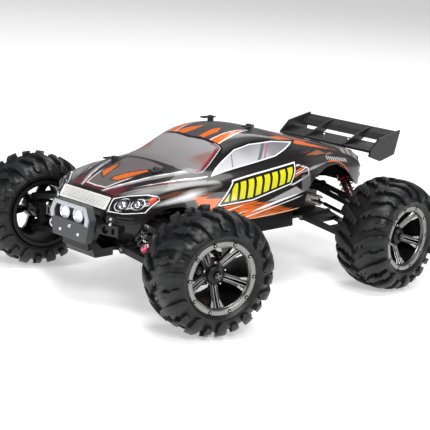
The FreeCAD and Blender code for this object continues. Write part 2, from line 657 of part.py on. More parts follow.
def rear_tower():
    """Rear tower with the two arms that carry the wing."""
    plate = shock_tower("r")
    x = AXLE_X["r"] + TOWER["r"][1]
    arms = []
    for s in (-1, 1):
        y0, y1 = sorted((s * 10.0, s * 13.0))
        arms.append(side([(x + 0.5, 68), (x + 0.5, 76), (-124, 92.6), (-150, 92.6), (-150, 90.0), (-127, 88.0),
                          (x - 5, 68)], y0, y1))
    return fuse(plate, *arms)


# ---- chassis, bumper, electrics ---------------------------------------------------------------------------------
def chassis():
    """Moulded tub: a flat floor with side walls, the steering idler's post and the shell's posts."""
    floor = plan(both_plan([(109, 0.0), (109, 15), (104, 18), (70, 18), (60, 33), (-62, 33), (-72, 18), (-106, 18),
                            (-110, 14), (-110, 0.0)])[1:-1], PLATE_Z, PLATE_Z + PLATE_T)
    walls = [side([(52, PLATE_Z), (52, 56), (-60, 59), (-62, PLATE_Z)], y, y + 2) for y in (31, -33)]
    ribs = [block((x, x + 2), (-31.5, 31.5), (PLATE_Z + PLATE_T - 0.1, PLATE_Z + PLATE_T + 1.4)) for x in (47, -57)]
    y, z = motor_centre()
    mount = block((SPUR_X - 4.5, SPUR_X - 2.9), (-29, -3.2), (PLATE_Z + 1, 68))
    mount = mount.cut(rod((SPUR_X - 9, y, z), (SPUR_X, y, z), 2.2)).cut(
        rod((SPUR_X - 9, 0, DIFF_Z), (SPUR_X, 0, DIFF_Z), 4.6))
    post = fuse(rod((CRANK_X, -CRANK_Y, PLATE_Z + 1), (CRANK_X, -CRANK_Y, LINK_PLATE_Z - 1), 3.2),
                rod((CRANK_X, -CRANK_Y, PLATE_Z + 1), (CRANK_X, -CRANK_Y, LINK_PLATE_Z + 4.4), 2.0))
    brace = [block((43.5, 46.0), (s * 31.5 - 1.5, s * 31.5 + 1.5), (PLATE_Z + 1, 64)) for s in (-1, 1)]
    return fuse(floor, *walls, *ribs, post, mount, *brace)


def body_posts():
    """Four posts that hold the shell: two behind the front tower and two over the middle of the tub."""
    x, y, z = POSTS["f"]
    fronts = []
    for s in (-1, 1):
        y0, y1 = sorted((s * y - 2, s * y + 2))
        strut = block((x - 2.4, BRIDGE_X[1]), (y0, y1), (UPPER_Z + 3.6, UPPER_Z + 6.4))
        fronts.append(fuse(strut, body_post(x, s * y, UPPER_Z + 4, z)))
    bridge = fuse(block(BRIDGE_X, (-y - 2, y + 2), (UPPER_Z + 3.6, UPPER_Z + 6.4)),
                  block(BRIDGE_X, (-12, 12), (UPPER_Z + 1.5, UPPER_Z + 4)))
    x, y, z = POSTS["r"]
    rails = [fuse(body_post(x, s * y, 66, z), block((x - 3, x + 3), (s * y - 3, s * y + 3), (63.5, 68)))
             for s in (-1, 1)]
    deck = block((x - 3, x + 3), (-33, 33), (63.5, 66))
    legs = [block((x - 3, x + 3), (s * 33 - 1.0, s * 33 + 1.0), (58.0, 66)) for s in (-1, 1)]
    return group(fuse(bridge, *fronts), fuse(deck, *rails, *legs))


def body_clips():
    """Four bent wire clips through the posts' cross holes, above the shell."""
    clips = []
    for x, y, z in POSTS.values():
        for s in (-1, 1):
            zc = z - CLIP_DROP
            points = [(x - 5.5, s * y, zc), (x + 7.0, s * y, zc)]
            straight = rod(points[0], points[1], 0.6)
            back = fuse(rod((x + 7.0, s * y, zc), (x + 7.0, s * (y + 3.9), zc), 0.6), ball((x + 7, s * y, zc), 0.6),
                        ball((x + 7, s * (y + 3.9), zc), 0.6),
                        rod((x + 7.0, s * (y + 3.9), zc), (x - 2.0, s * (y + 3.3), zc), 0.6))
            clips.append(fuse(straight, back))
    return group(*clips)


def bumper():
    """Front bumper: two bracket arms on a tapering mount, and a skid that slopes back to the chassis."""
    bar = plan(both_plan([(131, 12), (131, 21), (128.6, 31), (126.8, 38.5), (122.6, 38.5), (125, 30), (126.9, 25.4),
                          (126.9, 12)]),
               54.5, 62.0)
    mount = front(both([(22, 62), (22, 59), (13.5, 45), (13.5, 40)]), 125, 131)
    skid = side([(131, 46), (125, 34.5), (109.0, 34.5), (109.0, 40.4), (119, 40.4), (126, 47)], -15, 15)
    beam = side([(125.5, 62), (125.5, 54.5), (119, 54.5), (109, 44), (109, 52), (117, 62)], -9, 9)
    shape = fuse(bar, mount, skid, beam)
    for s in (-1, 1):
        shape = shape.cut(rod((115, s * 28, 58), (135, s * 28, 58), 2.7))
        shape = shape.cut(block((115, 135), tuple(sorted((s * 33.2, s * 35.4))), (56, 60)))
    return shape


LIGHT_X = 131.0


def light_housing():
    """Hexagonal light panel on the bumper's middle, with a recess for two lamps."""
    shell = front(both([(17, 72), (21, 63), (17.5, 46.5)]), LIGHT_X, LIGHT_X + 6)
    pocket = front(both([(14.2, 69.6), (16.6, 64), (16.2, 59.6)]), LIGHT_X + 2, LIGHT_X + 7)
    return shell.cut(pocket)


def light_lenses():
    """Two round lamps in the recess."""
    lamps = [rod((LIGHT_X + 2, s * 7, 64.5), (LIGHT_X + 4.6, s * 7, 64.5), 3.6) for s in (-1, 1)]
    return group(*[fuse(lamp, cone((LIGHT_X + 4.6, s * 7, 64.5), (LIGHT_X + 5.4, s * 7, 64.5), 3.6, 2.6))
                   for lamp, s in zip(lamps, (-1, 1))])


def battery():
    """Shrink-wrapped battery pack with its lead end."""
    pack = block((-48, 32), (14.2, 30.4), (PLATE_Z + PLATE_T, 58.5))
    return pack.makeFillet(2.0, pack.Edges)


SWITCH_X = 22.0


def receiver():
    """Speed controller and receiver box with a slot for its switch."""
    box = block((0, 42), (-30.6, -6), (PLATE_Z + PLATE_T, 57))
    box = box.makeFillet(1.5, [e for e in box.Edges if abs(e.Vertexes[0].Z - 57) < 0.1 and
                               abs(e.Vertexes[1].Z - 57) < 0.1])
    fins = [block((x, x + 1.2), (-28, -16), (56.5, 61)) for x in range(27, 40, 3)]
    return fuse(box, *fins).cut(block((SWITCH_X - 5.5, SWITCH_X + 5.5), (-13, -9), (54.5, 58)))


def power_switch():
    """Sliding switch button in the receiver box's slot."""
    base = block((SWITCH_X - 5.0, SWITCH_X + 2.0), (-12.7, -9.3), (54.8, 57.3))
    return fuse(base, block((SWITCH_X - 3.2, SWITCH_X + 0.2), (-12.2, -9.8), (57.2, 59.6)))


def fasteners():
    """Hinge pins of the arms and the screws under the chassis."""
    pins = []
    for x in AXLE_X.values():
        for s in (-1, 1):
            pins.append(rod((x - 17.8, s * INNER_Y, LOWER_Z), (x + 17.8, s * INNER_Y, LOWER_Z), HINGE_R))
            pins.append(rod((x - 7.8, s * INNER_Y, UPPER_Z), (x + 7.8, s * INNER_Y, UPPER_Z), HINGE_R))
    return group(*pins)


# ---- wing -----------------------------------------------------------------------------------------------------
WING_HALF = 48.0


def wing():
    """Rear wing: lower plane, raised flap, two ribs and two end plates."""
    lower = side([(-132, 93.0), (-132, 95.0), (-144, 95.4), (-154, 97.8), (-154, 96.0), (-144, 92.6)],
                 -WING_HALF, WING_HALF)
    flap = side([(-158, 101.0), (-163, 104.4), (-170.5, 107.8), (-170.8, 106.2), (-163.5, 102.4), (-159, 99.4)],
                -WING_HALF, WING_HALF)
    ribs = [side([(-133, 93.5), (-133, 95.6), (-141, 98.6), (-160, 106.0), (-170, 107.6), (-170, 105.5), (-158, 98),
                  (-150, 95.5)], s * 20 - 0.9, s * 20 + 0.9) for s in (-1, 1)]
    ends = [side([(-132.5, 89.6), (-133.2, 95), (-143.4, 103.8), (-170.9, 109.2), (-165.5, 89.4), (-147, 85)],
                 s * WING_HALF - 1, s * WING_HALF + 1) for s in (-1, 1)]
    return fuse(lower, flap, *ribs, *ends)


# ---- body shell -------------------------------------------------------------------------------------------------
SHELL_T = 1.2
# Half sections of the shell from the middle outward: crown, crown edge, roof or bonnet edge, belt, side, sill
SECTIONS = [
    (127.0, [(0, 79.0), (11, 78.8), (20, 78.0), (23.5, 76.5), (24.5, 71.5), (25, 68.0), (25.5, 57.0)]),
    (118.0, [(0, 81.0), (12, 80.6), (22, 79.0), (29, 77.6), (34, 72.0), (40.5, 67.5), (42, 57.0)]),
    (104.0, [(0, 86.4), (12, 86.0), (23.5, 84.4), (38, 82.0), (47.5, 79.5), (49.5, 70.5), (50, 57.0)]),
    (79.0, [(0, 94.0), (12, 93.6), (23.5, 91.9), (37, 89.0), (49.5, 84.5), (54, 77.0), (56, 64.0)]),
    (54.0, [(0, 97.0), (14, 96.4), (29, 94.2), (42.5, 90.6), (53, 84.5), (57, 76.0), (60, 62.0)]),
    (25.0, [(0, 111.6), (15, 111.2), (28.5, 108.6), (44.5, 92.5), (55, 85.0), (60, 74.0), (62, 60.0)]),
    (3.0, [(0, 118.0), (16, 117.2), (29.5, 113.6), (46, 95.5), (57, 86.0), (60.5, 74.0), (62, 60.0)]),
    (-18.0, [(0, 117.3), (16, 116.6), (31, 112.6), (46.5, 98.5), (58.5, 87.5), (60.5, 75.0), (62, 60.5)]),
    (-40.0, [(0, 113.0), (17, 112.4), (33.5, 109.0), (46, 102.0), (59, 89.0), (60.5, 76.0), (61.5, 62.0)]),
    (-62.0, [(0, 108.0), (18, 107.5), (36, 104.6), (48, 98.5), (55, 92.0), (56.5, 82.0), (56.5, 70.0)]),
    (-84.0, [(0, 103.8), (19, 103.4), (38, 101.0), (48.5, 96.5), (55, 91.0), (56, 80.0), (56, 70.0)]),
    (-106.0, [(0, 99.4), (20, 99.0), (39, 97.4), (48, 93.5), (53.5, 87.0), (54, 78.0), (54, 69.0)]),
    (-121.0, [(0, 96.0), (20, 95.8), (38, 94.6), (46, 91.0), (49.5, 84.0), (50, 77.0), (50, 69.0)]),
]


def section_wire(x, half, floor_z, inset):
    """Closed section across the shell, drawn in by inset on its outer sides and run down to floor_z."""
    points = []
    for i, (y, z) in enumerate(half):
        share = i / (len(half) - 1)
        points.append((max(y - inset * min(1.0, 1.6 * share), 0.0), z - inset * (1.25 - share)))
    points.append((points[-1][0], floor_z))
    left = [Vector(x, y, z) for y, z in points]
    right = [Vector(x, -y, z) for y, z in reversed(points[1:])]
    return Part.makePolygon(left + right + [left[0]])


def shell_solid(inset, x_front, x_back):
    """Solid block under the shell's skin, down to a level below the sills, with its nose cut to a slope."""
    wires = [section_wire(min(max(x, x_back), x_front), half, 50.0, inset) for x, half in SECTIONS]
    nose = side([(120.8 - inset, 96), (120.8 - inset, 79.2), (126.4 - inset, 70), (126.4 - inset, 40), (140, 40),
                 (140, 96)], -60, 60)
    return Part.makeLoft(wires, True, True).cut(nose)


def body_shell():
    """Thin open-bottomed body with its nose, sills, wheel arches and post holes."""
    shape = shell_solid(0.0, 200, -200).cut(shell_solid(SHELL_T, 127.0, -121.0 + SHELL_T))
    front_arch = [(115, 40), (115, 57), (108, 66), (101, 71.5), (92, 74), (82, 74), (74, 71.6), (64, 66), (54, 60),
                  (46, 52), (46, 40)]
    sill = [(56, 40), (54, 60), (-37, 60), (-41, 68), (-45, 76), (-45, 40)]
    rear_arch = [(-44, 40), (-44, 75), (-54, 83), (-68, 89), (-82, 90), (-98, 83), (-112, 70), (-130, 69), (-130, 40)]
    tools = [side(sill, -80, 80), block((-140, -44), (-42.5, 42.5), (40, 69)),
             block((119, 140), (-25.2, 25.2), (40, 69.5)),
             block((100, 140), (-80, 80), (40, 57)), block((-130, -117), (-16, 16), (40, 90))]
    for outline in (front_arch, rear_arch):
        tool = side(outline, 36, 80)
        tools += [tool, mirrored(tool)]
    for x, y, z in POSTS.values():
        tools += [rod((x, s * y, z - 15), (x, s * y, z + 5), POST_R + GAP) for s in (-1, 1)]
    for tool in tools:
        shape = shape.cut(tool)
    return shape


# ---- assembly -------------------------------------------------------------------------------------------------
def build():
    """Every node of the truck by name."""
    nodes = {
        "chassis_tub": group(chassis(), body_posts()), "front_bumper": bumper(),
        "light_housing": light_housing(), "light_lenses": light_lenses(),
        "front_gearbox_case": gearbox("f"), "rear_gearbox_case": gearbox("r"),
        "front_shock_tower": front_tower(), "rear_shock_tower": rear_tower(), "rear_wing": wing(),
        "body_shell": body_shell(), "body_clips": body_clips(), "motor": motor(), "battery_pack": battery(),
        "receiver_box": receiver(), "steering_servo": steering_servo(), "hinge_pins": fasteners(),
        "power_switch": power_switch(), "center_shaft": centre_shaft(), "motor_pinion": motor_pinion(),
        "front_diff": differential("f"), "rear_diff": differential("r"),
        "servo_horn": crank(CRANK_Y), "idler_arm": crank(-CRANK_Y), "drag_link": drag_link(),
        "tie_rod_left": tie_rod("fl"), "tie_rod_right": tie_rod("fr"),
        "knuckle_fl": steered(at_pivot(knuckle(), "fl"), "fl"),
        "knuckle_fr": steered(at_pivot(knuckle(), "fr"), "fr"),
    }
    for corner in CORNERS:
        nodes["lower_arm_" + corner] = lower_arm(corner)
        nodes["upper_arm_" + corner] = upper_arm(corner)
        nodes["drive_shaft_" + corner] = drive_shaft(corner)
        nodes["shock_body_" + corner] = shock_body(corner)
        nodes["shock_rod_" + corner] = shock_rod(corner)
        carrier = caster_block() if corner[0] == "f" else rear_carrier()
        nodes["hub_carrier_" + corner] = at_pivot(carrier, corner)
        nodes["tyre_" + corner] = wheel_place(tyre(), corner)
        nodes["rim_" + corner] = wheel_place(rim(), corner)
    return nodes


def main():
    """Writes one STEP file per node into parts/."""
    os.makedirs("parts", exist_ok=True)
    for name in os.listdir("parts"):
        os.remove(os.path.join("parts", name))
    for name, shape in sorted(build().items()):
        shape.translate(Vector(BOX_CENTRE_SHIFT, 0, 0))
        if not shape.isValid() or any(s.Volume <= 0 for s in shape.Solids) or not shape.Solids:
            print("PROBLEM", name, shape.isValid(), [round(s.Volume, 2) for s in shape.Solids])
        box = shape.BoundBox
        print("%-20s %d solid(s) %9.1f mm3  x %.1f..%.1f  y %.1f..%.1f  z %.1f..%.1f" % (
            name, len(shape.Solids), shape.Volume, box.XMin, box.XMax, box.YMin, box.YMax, box.ZMin, box.ZMax))
        shape.exportStep(os.path.join("parts", name + ".step"))


if __name__ == "__main__":
    main()
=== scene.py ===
"""Visual model of a four wheel drive remote control monster truck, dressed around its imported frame.

Lengths in the classes are millimetres from the floor and from the middle of the wheelbase: X runs
forward, Y to the truck's left and Z up. A mesh is brought to metres and to the frame's own origin when
it is placed.
"""
from __future__ import annotations

import json
import logging
import math
from dataclasses import dataclass, field, replace
from enum import Enum, IntEnum
from typing import Any, Callable, Iterable, Mapping, Optional, Sequence, Union

import bmesh
import bpy
from mathutils import Matrix, Vector
from mathutils.bvhtree import BVHTree

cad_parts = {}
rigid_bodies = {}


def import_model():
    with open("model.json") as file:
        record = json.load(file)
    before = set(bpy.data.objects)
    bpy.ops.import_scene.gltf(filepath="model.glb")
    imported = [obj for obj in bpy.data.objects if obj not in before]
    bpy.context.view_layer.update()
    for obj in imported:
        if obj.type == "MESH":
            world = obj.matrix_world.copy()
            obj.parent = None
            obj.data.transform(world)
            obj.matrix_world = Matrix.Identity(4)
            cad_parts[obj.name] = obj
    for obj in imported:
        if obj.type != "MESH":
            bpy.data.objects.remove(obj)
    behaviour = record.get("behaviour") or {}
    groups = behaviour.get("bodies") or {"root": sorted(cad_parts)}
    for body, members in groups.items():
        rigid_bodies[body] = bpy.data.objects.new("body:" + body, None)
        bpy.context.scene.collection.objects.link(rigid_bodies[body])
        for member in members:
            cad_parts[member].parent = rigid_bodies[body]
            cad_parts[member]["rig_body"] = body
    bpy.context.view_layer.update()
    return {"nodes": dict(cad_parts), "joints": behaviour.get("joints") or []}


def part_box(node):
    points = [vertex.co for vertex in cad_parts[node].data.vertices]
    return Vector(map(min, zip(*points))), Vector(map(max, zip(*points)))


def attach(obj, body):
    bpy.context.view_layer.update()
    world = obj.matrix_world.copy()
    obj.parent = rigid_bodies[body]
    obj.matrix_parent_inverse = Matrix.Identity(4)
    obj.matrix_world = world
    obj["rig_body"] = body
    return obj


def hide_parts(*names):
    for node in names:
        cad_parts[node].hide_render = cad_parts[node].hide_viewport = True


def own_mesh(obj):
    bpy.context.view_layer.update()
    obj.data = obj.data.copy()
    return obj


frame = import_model()

LOG = logging.getLogger("truck")
MM = 0.001
REAR_AXLE_X = -97.5
TURN = 2 * math.pi
WHEEL_CODES = ("fl", "fr", "rl", "rr")
# distance out, height and radius of the headlamp lenses on one side
HEADLAMPS = ((32.2, 74.9, 3.3), (40.6, 76.2, 2.7))
PANEL_LAMP_OUT, PANEL_LAMP_HEIGHT = 7.0, 64.5
AHEAD_OF_NOSE = 150.0
WELD_DISTANCE = 1e-4
DATUM_X = (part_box("tyre_rl")[0].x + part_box("tyre_rl")[1].x) / 2 - REAR_AXLE_X * MM
TO_FRAME = Matrix.Translation((DATUM_X, 0, 0)) @ Matrix.Scale(MM, 4)

Point2 = tuple[float, float]
Point3 = tuple[float, float, float]
Colour = tuple[float, float, float]


def to_millimetres(point: Sequence[float]) -> Vector:
    """A point of the frame, in metres, as this file's millimetres from mid wheelbase."""
    return Vector(((point[0] - DATUM_X) / MM, point[1] / MM, point[2] / MM))


# ---- shader expressions --------------------------------------------------------------------------
@dataclass(frozen=True)
class Field:
    """A value that changes over a surface, held as a node's output socket."""

    graph: "Graph"
    socket: bpy.types.NodeSocket

    def __add__(self, other: "Number") -> "Field":
        """Sum."""
        return self.graph.math("ADD", self, other)

    def __radd__(self, other: "Number") -> "Field":
        """Sum with a number on the left."""
        return self.graph.math("ADD", other, self)

    def __sub__(self, other: "Number") -> "Field":
        """Difference."""
        return self.graph.math("SUBTRACT", self, other)

    def __rsub__(self, other: "Number") -> "Field":
        """Difference with a number on the left."""
        return self.graph.math("SUBTRACT", other, self)

    def __mul__(self, other: "Number") -> "Field":
        """Product."""
        return self.graph.math("MULTIPLY", self, other)

    def __rmul__(self, other: "Number") -> "Field":
        """Product with a number on the left."""
        return self.graph.math("MULTIPLY", other, self)

    def __truediv__(self, other: "Number") -> "Field":
        """Quotient."""
        return self.graph.math("DIVIDE", self, other)

    def __abs__(self) -> "Field":
        """Size without sign."""
        return self.graph.math("ABSOLUTE", self)

    def least(self, other: "Number") -> "Field":
        """The smaller of two values."""
        return self.graph.math("MINIMUM", self, other)

    def over(self, edge: float, soft: float = 0.35) -> "Field":
        """Mask that rises from 0 to 1 across an edge.

        Args:
            edge: Value at the middle of the rise.
            soft: Span of the rise.

        Returns:
            The mask.
        """
        return self.graph.math("MULTIPLY_ADD", self, 1 / soft, 0.5 - edge / soft, clamp=True)


Number = Union[float, Field]


class Graph:
    """Node tree of one material, with a Principled shader and one way to make any other node."""

    def __init__(self, material: bpy.types.Material) -> None:
        """Clears the material's tree and puts the shader and output in it."""
        material.use_nodes = True
        self.tree = material.node_tree
        self.tree.nodes.clear()
        self.shader = self.tree.nodes.new("ShaderNodeBsdfPrincipled")
        output = self.tree.nodes.new("ShaderNodeOutputMaterial")
        self.tree.links.new(self.shader.outputs[0], output.inputs["Surface"])

    def feed(self, socket: bpy.types.NodeSocket, value: Any) -> None:
        """Links a field to a socket, or sets the socket's own value."""
        if isinstance(value, Field):
            self.tree.links.new(value.socket, socket)
        elif isinstance(value, tuple) and len(value) == 3 and socket.type == "RGBA":
            socket.default_value = (*value, 1.0)
        else:
            socket.default_value = value

    def node(self, kind: str, settings: Mapping[str, Any], sockets: Mapping[Any, Any], out: int = 0) -> Field:
        """Makes a node.

        Args:
            kind: Node type.
            settings: Attributes set first; "stops" gives a ramp's positions and colours.
            sockets: Values or fields by input name or number.
            out: Number of the output wanted.

        Returns:
            The output as a field.
        """
        made = self.tree.nodes.new(kind)
        for name, value in settings.items():
            if name == "stops":
                for i, (place, colour) in enumerate(value):
                    stop = made.color_ramp.elements[i] if i < 2 else made.color_ramp.elements.new(place)
                    stop.position, stop.color = place, (*colour, 1.0)
            else:
                setattr(made, name, value)
        for key, value in sockets.items():
            self.feed(made.inputs[key], value)
        return Field(self, made.outputs[out])

    def math(self, operation: str, *values: Number, clamp: bool = False) -> Field:
        """Math node on one to three values."""
        return self.node("ShaderNodeMath", {"operation": operation, "use_clamp": clamp},
                         dict(enumerate(values)))

    def mix(self, share: Number, first: Union[Colour, Field], second: Union[Colour, Field]) -> Field:
        """Colour that goes from first to second as share goes from 0 to 1."""
        return self.node("ShaderNodeMix", {"data_type": "RGBA"}, {0: share, 6: first, 7: second}, out=2)

    def place(self) -> Field:
        """Position on the surface, in this file's millimetres."""
        spot = self.node("ShaderNodeTexCoord", {}, {}, out=3)
        return self.node("ShaderNodeVectorMath", {"operation": "MULTIPLY_ADD"},
                         {0: spot, 1: (1 / MM,) * 3, 2: (-DATUM_X / MM, 0.0, 0.0)})

    def axes(self, spot: Field) -> tuple[Field, Field, Field]:
        """X, Y and Z of a vector field."""
        parts = self.tree.nodes.new("ShaderNodeSeparateXYZ")
        self.feed(parts.inputs[0], spot)
        return Field(self, parts.outputs[0]), Field(self, parts.outputs[1]), Field(self, parts.outputs[2])

    def vector(self, x: Number, y: Number, z: Number) -> Field:
        """Vector from three values."""
        return self.node("ShaderNodeCombineXYZ", {}, {0: x, 1: y, 2: z})

    def noise(self, spot: Field, size: float, detail: float = 2.0) -> Field:
        """Cloudy noise from 0 to 1 whose blobs are about size across."""
        return self.node("ShaderNodeTexNoise", {"noise_dimensions": "3D"},
                         {"Vector": spot, "Scale": 1 / size, "Detail": detail, "Roughness": 0.55})

    def length(self, across: Field, up: Field) -> Field:
        """Length of a flat vector from its two parts."""
        return self.math("SQRT", across * across + up * up)

    def bump(self, height: Field, depth: float) -> Field:
        """Normal of a relief that is depth millimetres deep."""
        return self.node("ShaderNodeBump", {}, {"Strength": 1.0, "Distance": depth * MM, "Height": height})


def depth_in(outline: Sequence[Point2], across: Field, up: Field) -> Field:
    """How deep a place is inside a convex outline.

    Args:
        outline: Corners in order, either way round.
        across: First coordinate.
        up: Second coordinate.

    Returns:
        Distance in from the nearest side, negative outside.
    """
    area = sum(a[0] * b[1] - b[0] * a[1] for a, b in zip(outline, [*outline[1:], outline[0]]))
    depth: Optional[Field] = None
    for a, b in zip(outline, [*outline[1:], outline[0]]):
        run, rise = b[0] - a[0], b[1] - a[1]
        size = math.copysign(math.hypot(run, rise), area)
        nx, ny = -rise / size, run / size
        side = across * nx + (up * ny - (nx * a[0] + ny * a[1]))
        depth = side if depth is None else depth.least(side)
    return depth


# ---- finishes ------------------------------------------------------------------------------------
@dataclass(frozen=True)
class Finish:
    """Moulded or coated surface: a tone that wanders a little, uneven gloss and fine grain."""

    name: str
    colour: Colour
    roughness: float = 0.45
    metallic: float = 0.0
    coat: float = 0.0
    mottle: float = 0.25
    grain: float = 0.9
    relief: float = 0.03
    uneven: float = 0.10
    gloss: float = 0.5

    def dress(self, graph: Graph) -> dict[str, Any]:
        """Values of the shader's sockets.

        Args:
            graph: The material's tree.

        Returns:
            Fields and numbers by socket name.
        """
        spot = graph.place()
        cloud = graph.noise(spot, 14.0, 3.0)
        lighter = tuple(min(1.0, c * (1 + 2 * self.mottle) + 0.001) for c in self.colour)
        darker = tuple(c * (1 - self.mottle) for c in self.colour)
        bump = graph.bump(graph.noise(spot, self.grain, 2.0), self.relief)
        return {"Base Color": graph.mix(cloud, darker, lighter),
                "Roughness": (cloud * 2 - 1) * self.uneven + self.roughness,
                "Metallic": self.metallic, "Coat Weight": self.coat, "Coat Roughness": 0.06,
                "Specular IOR Level": self.gloss, "Normal": bump}

    def material(self) -> bpy.types.Material:
        """The finish as a material, made once."""
        found = bpy.data.materials.get(self.name)
        if found is None:
            found = bpy.data.materials.new(self.name)
            graph = Graph(found)
            for socket, value in self.dress(graph).items():
                graph.feed(graph.shader.inputs[socket], value)
        return found


@dataclass(frozen=True)
class WheelFinish(Finish):
    """Finish that knows where its wheel's axle is."""

    centre: Point3 = (0.0, 0.0, 0.0)
    steer: float = 0.0

    def radius(self, graph: Graph) -> Field:
        """Distance from the axle."""
        x, y, z = graph.axes(graph.place())
        along = (x - self.centre[0]) * math.cos(self.steer) + (y - self.centre[1]) * math.sin(self.steer)
        return graph.length(along, z - self.centre[2])


@dataclass(frozen=True)
class BrushedMetal(WheelFinish):
    """Turned metal with fine lines round the wheel's own axle."""

    def dress(self, graph: Graph) -> dict[str, Any]:
        """Adds fine rings to the metal's gloss and tone."""
        made = super().dress(graph)
        rings = graph.noise(graph.vector(self.radius(graph) * 3.0, 0.0, 0.0), 1.0, 3.0)
        tone = tuple(min(1.0, c * 1.25) for c in self.colour)
        made["Base Color"] = graph.mix(rings, tuple(c * 0.82 for c in self.colour), tone)
        made["Roughness"] = self.roughness - 0.08 + rings * 0.16
        return made


@dataclass(frozen=True)
class Rubber(WheelFinish):
    """Tyre rubber: dusty greyer faces on the tread, faint moulding rings and pores."""

    tread_tone: Colour = (0.013, 0.0135, 0.0145)

    def dress(self, graph: Graph) -> dict[str, Any]:
        """Greys the outer faces and roughens them."""
        made = super().dress(graph)
        spot, radius = graph.place(), self.radius(graph)
        dust = radius.over(39.5, 5.0) * graph.noise(spot, 5.0, 3.0).over(0.45, 0.5)
        made["Base Color"] = graph.mix(dust, made["Base Color"], self.tread_tone)
        made["Roughness"] = self.roughness + dust * 0.12 + (graph.noise(spot, 9.0) - 0.5) * 0.2
        pores = graph.noise(spot, 0.7, 2.0) + graph.math("SINE",
                                                         radius * 5.2) * (1 - radius.over(32.5, 1.0)) * 0.5
        made["Normal"] = graph.bump(pores, 0.06)
        return made


@dataclass(frozen=True)
class Lamp(Finish):
    """White light-emitting diode behind a clear lens, brightest in its middle."""

    glow: Colour = (0.86, 0.92, 1.0)
    strength: float = 1.0

    def dress(self, graph: Graph) -> dict[str, Any]:
        """Adds the glow."""
        made = super().dress(graph)
        _, y, z = graph.axes(graph.place())
        core = 1 - graph.length(abs(y) - PANEL_LAMP_OUT, z - PANEL_LAMP_HEIGHT) / 5.2
        made["Emission Color"] = graph.mix(core.over(0.3, 0.7), (0.10, 0.16, 0.36), self.glow)
        made["Emission Strength"] = self.strength
        return made


@dataclass(frozen=True)
class Floor(Finish):
    """White studio floor that glows a little, so that its shadows stay pale."""

    lift: float = 0.42

    def dress(self, graph: Graph) -> dict[str, Any]:
        """Adds the floor's own light."""
        made = super().dress(graph)
        made["Emission Color"] = (1.0, 1.0, 1.0, 1.0)
        made["Emission Strength"] = self.lift
        made["Specular IOR Level"] = 0.1
        return made


class Ink(Enum):
    """Printing inks of the body film, and tones of its painted highlights and reflections, as linear colours.
    """

    BLACK = (0.0065, 0.0062, 0.0062)
    ORANGE = (0.66, 0.125, 0.010)
    AMBER = (0.42, 0.105, 0.018)
    BROWN = (0.075, 0.030, 0.014)
    SMOKE = (0.135, 0.125, 0.128)
    GLASS = (0.26, 0.255, 0.265)
    PALE_GLASS = (0.56, 0.56, 0.58)
    SILVER = (0.60, 0.60, 0.61)
    WHITE = (0.86, 0.86, 0.86)
    CRIMSON = (0.22, 0.008, 0.020)
    YELLOW = (0.62, 0.60, 0.01)
    RED = (0.62, 0.045, 0.012)


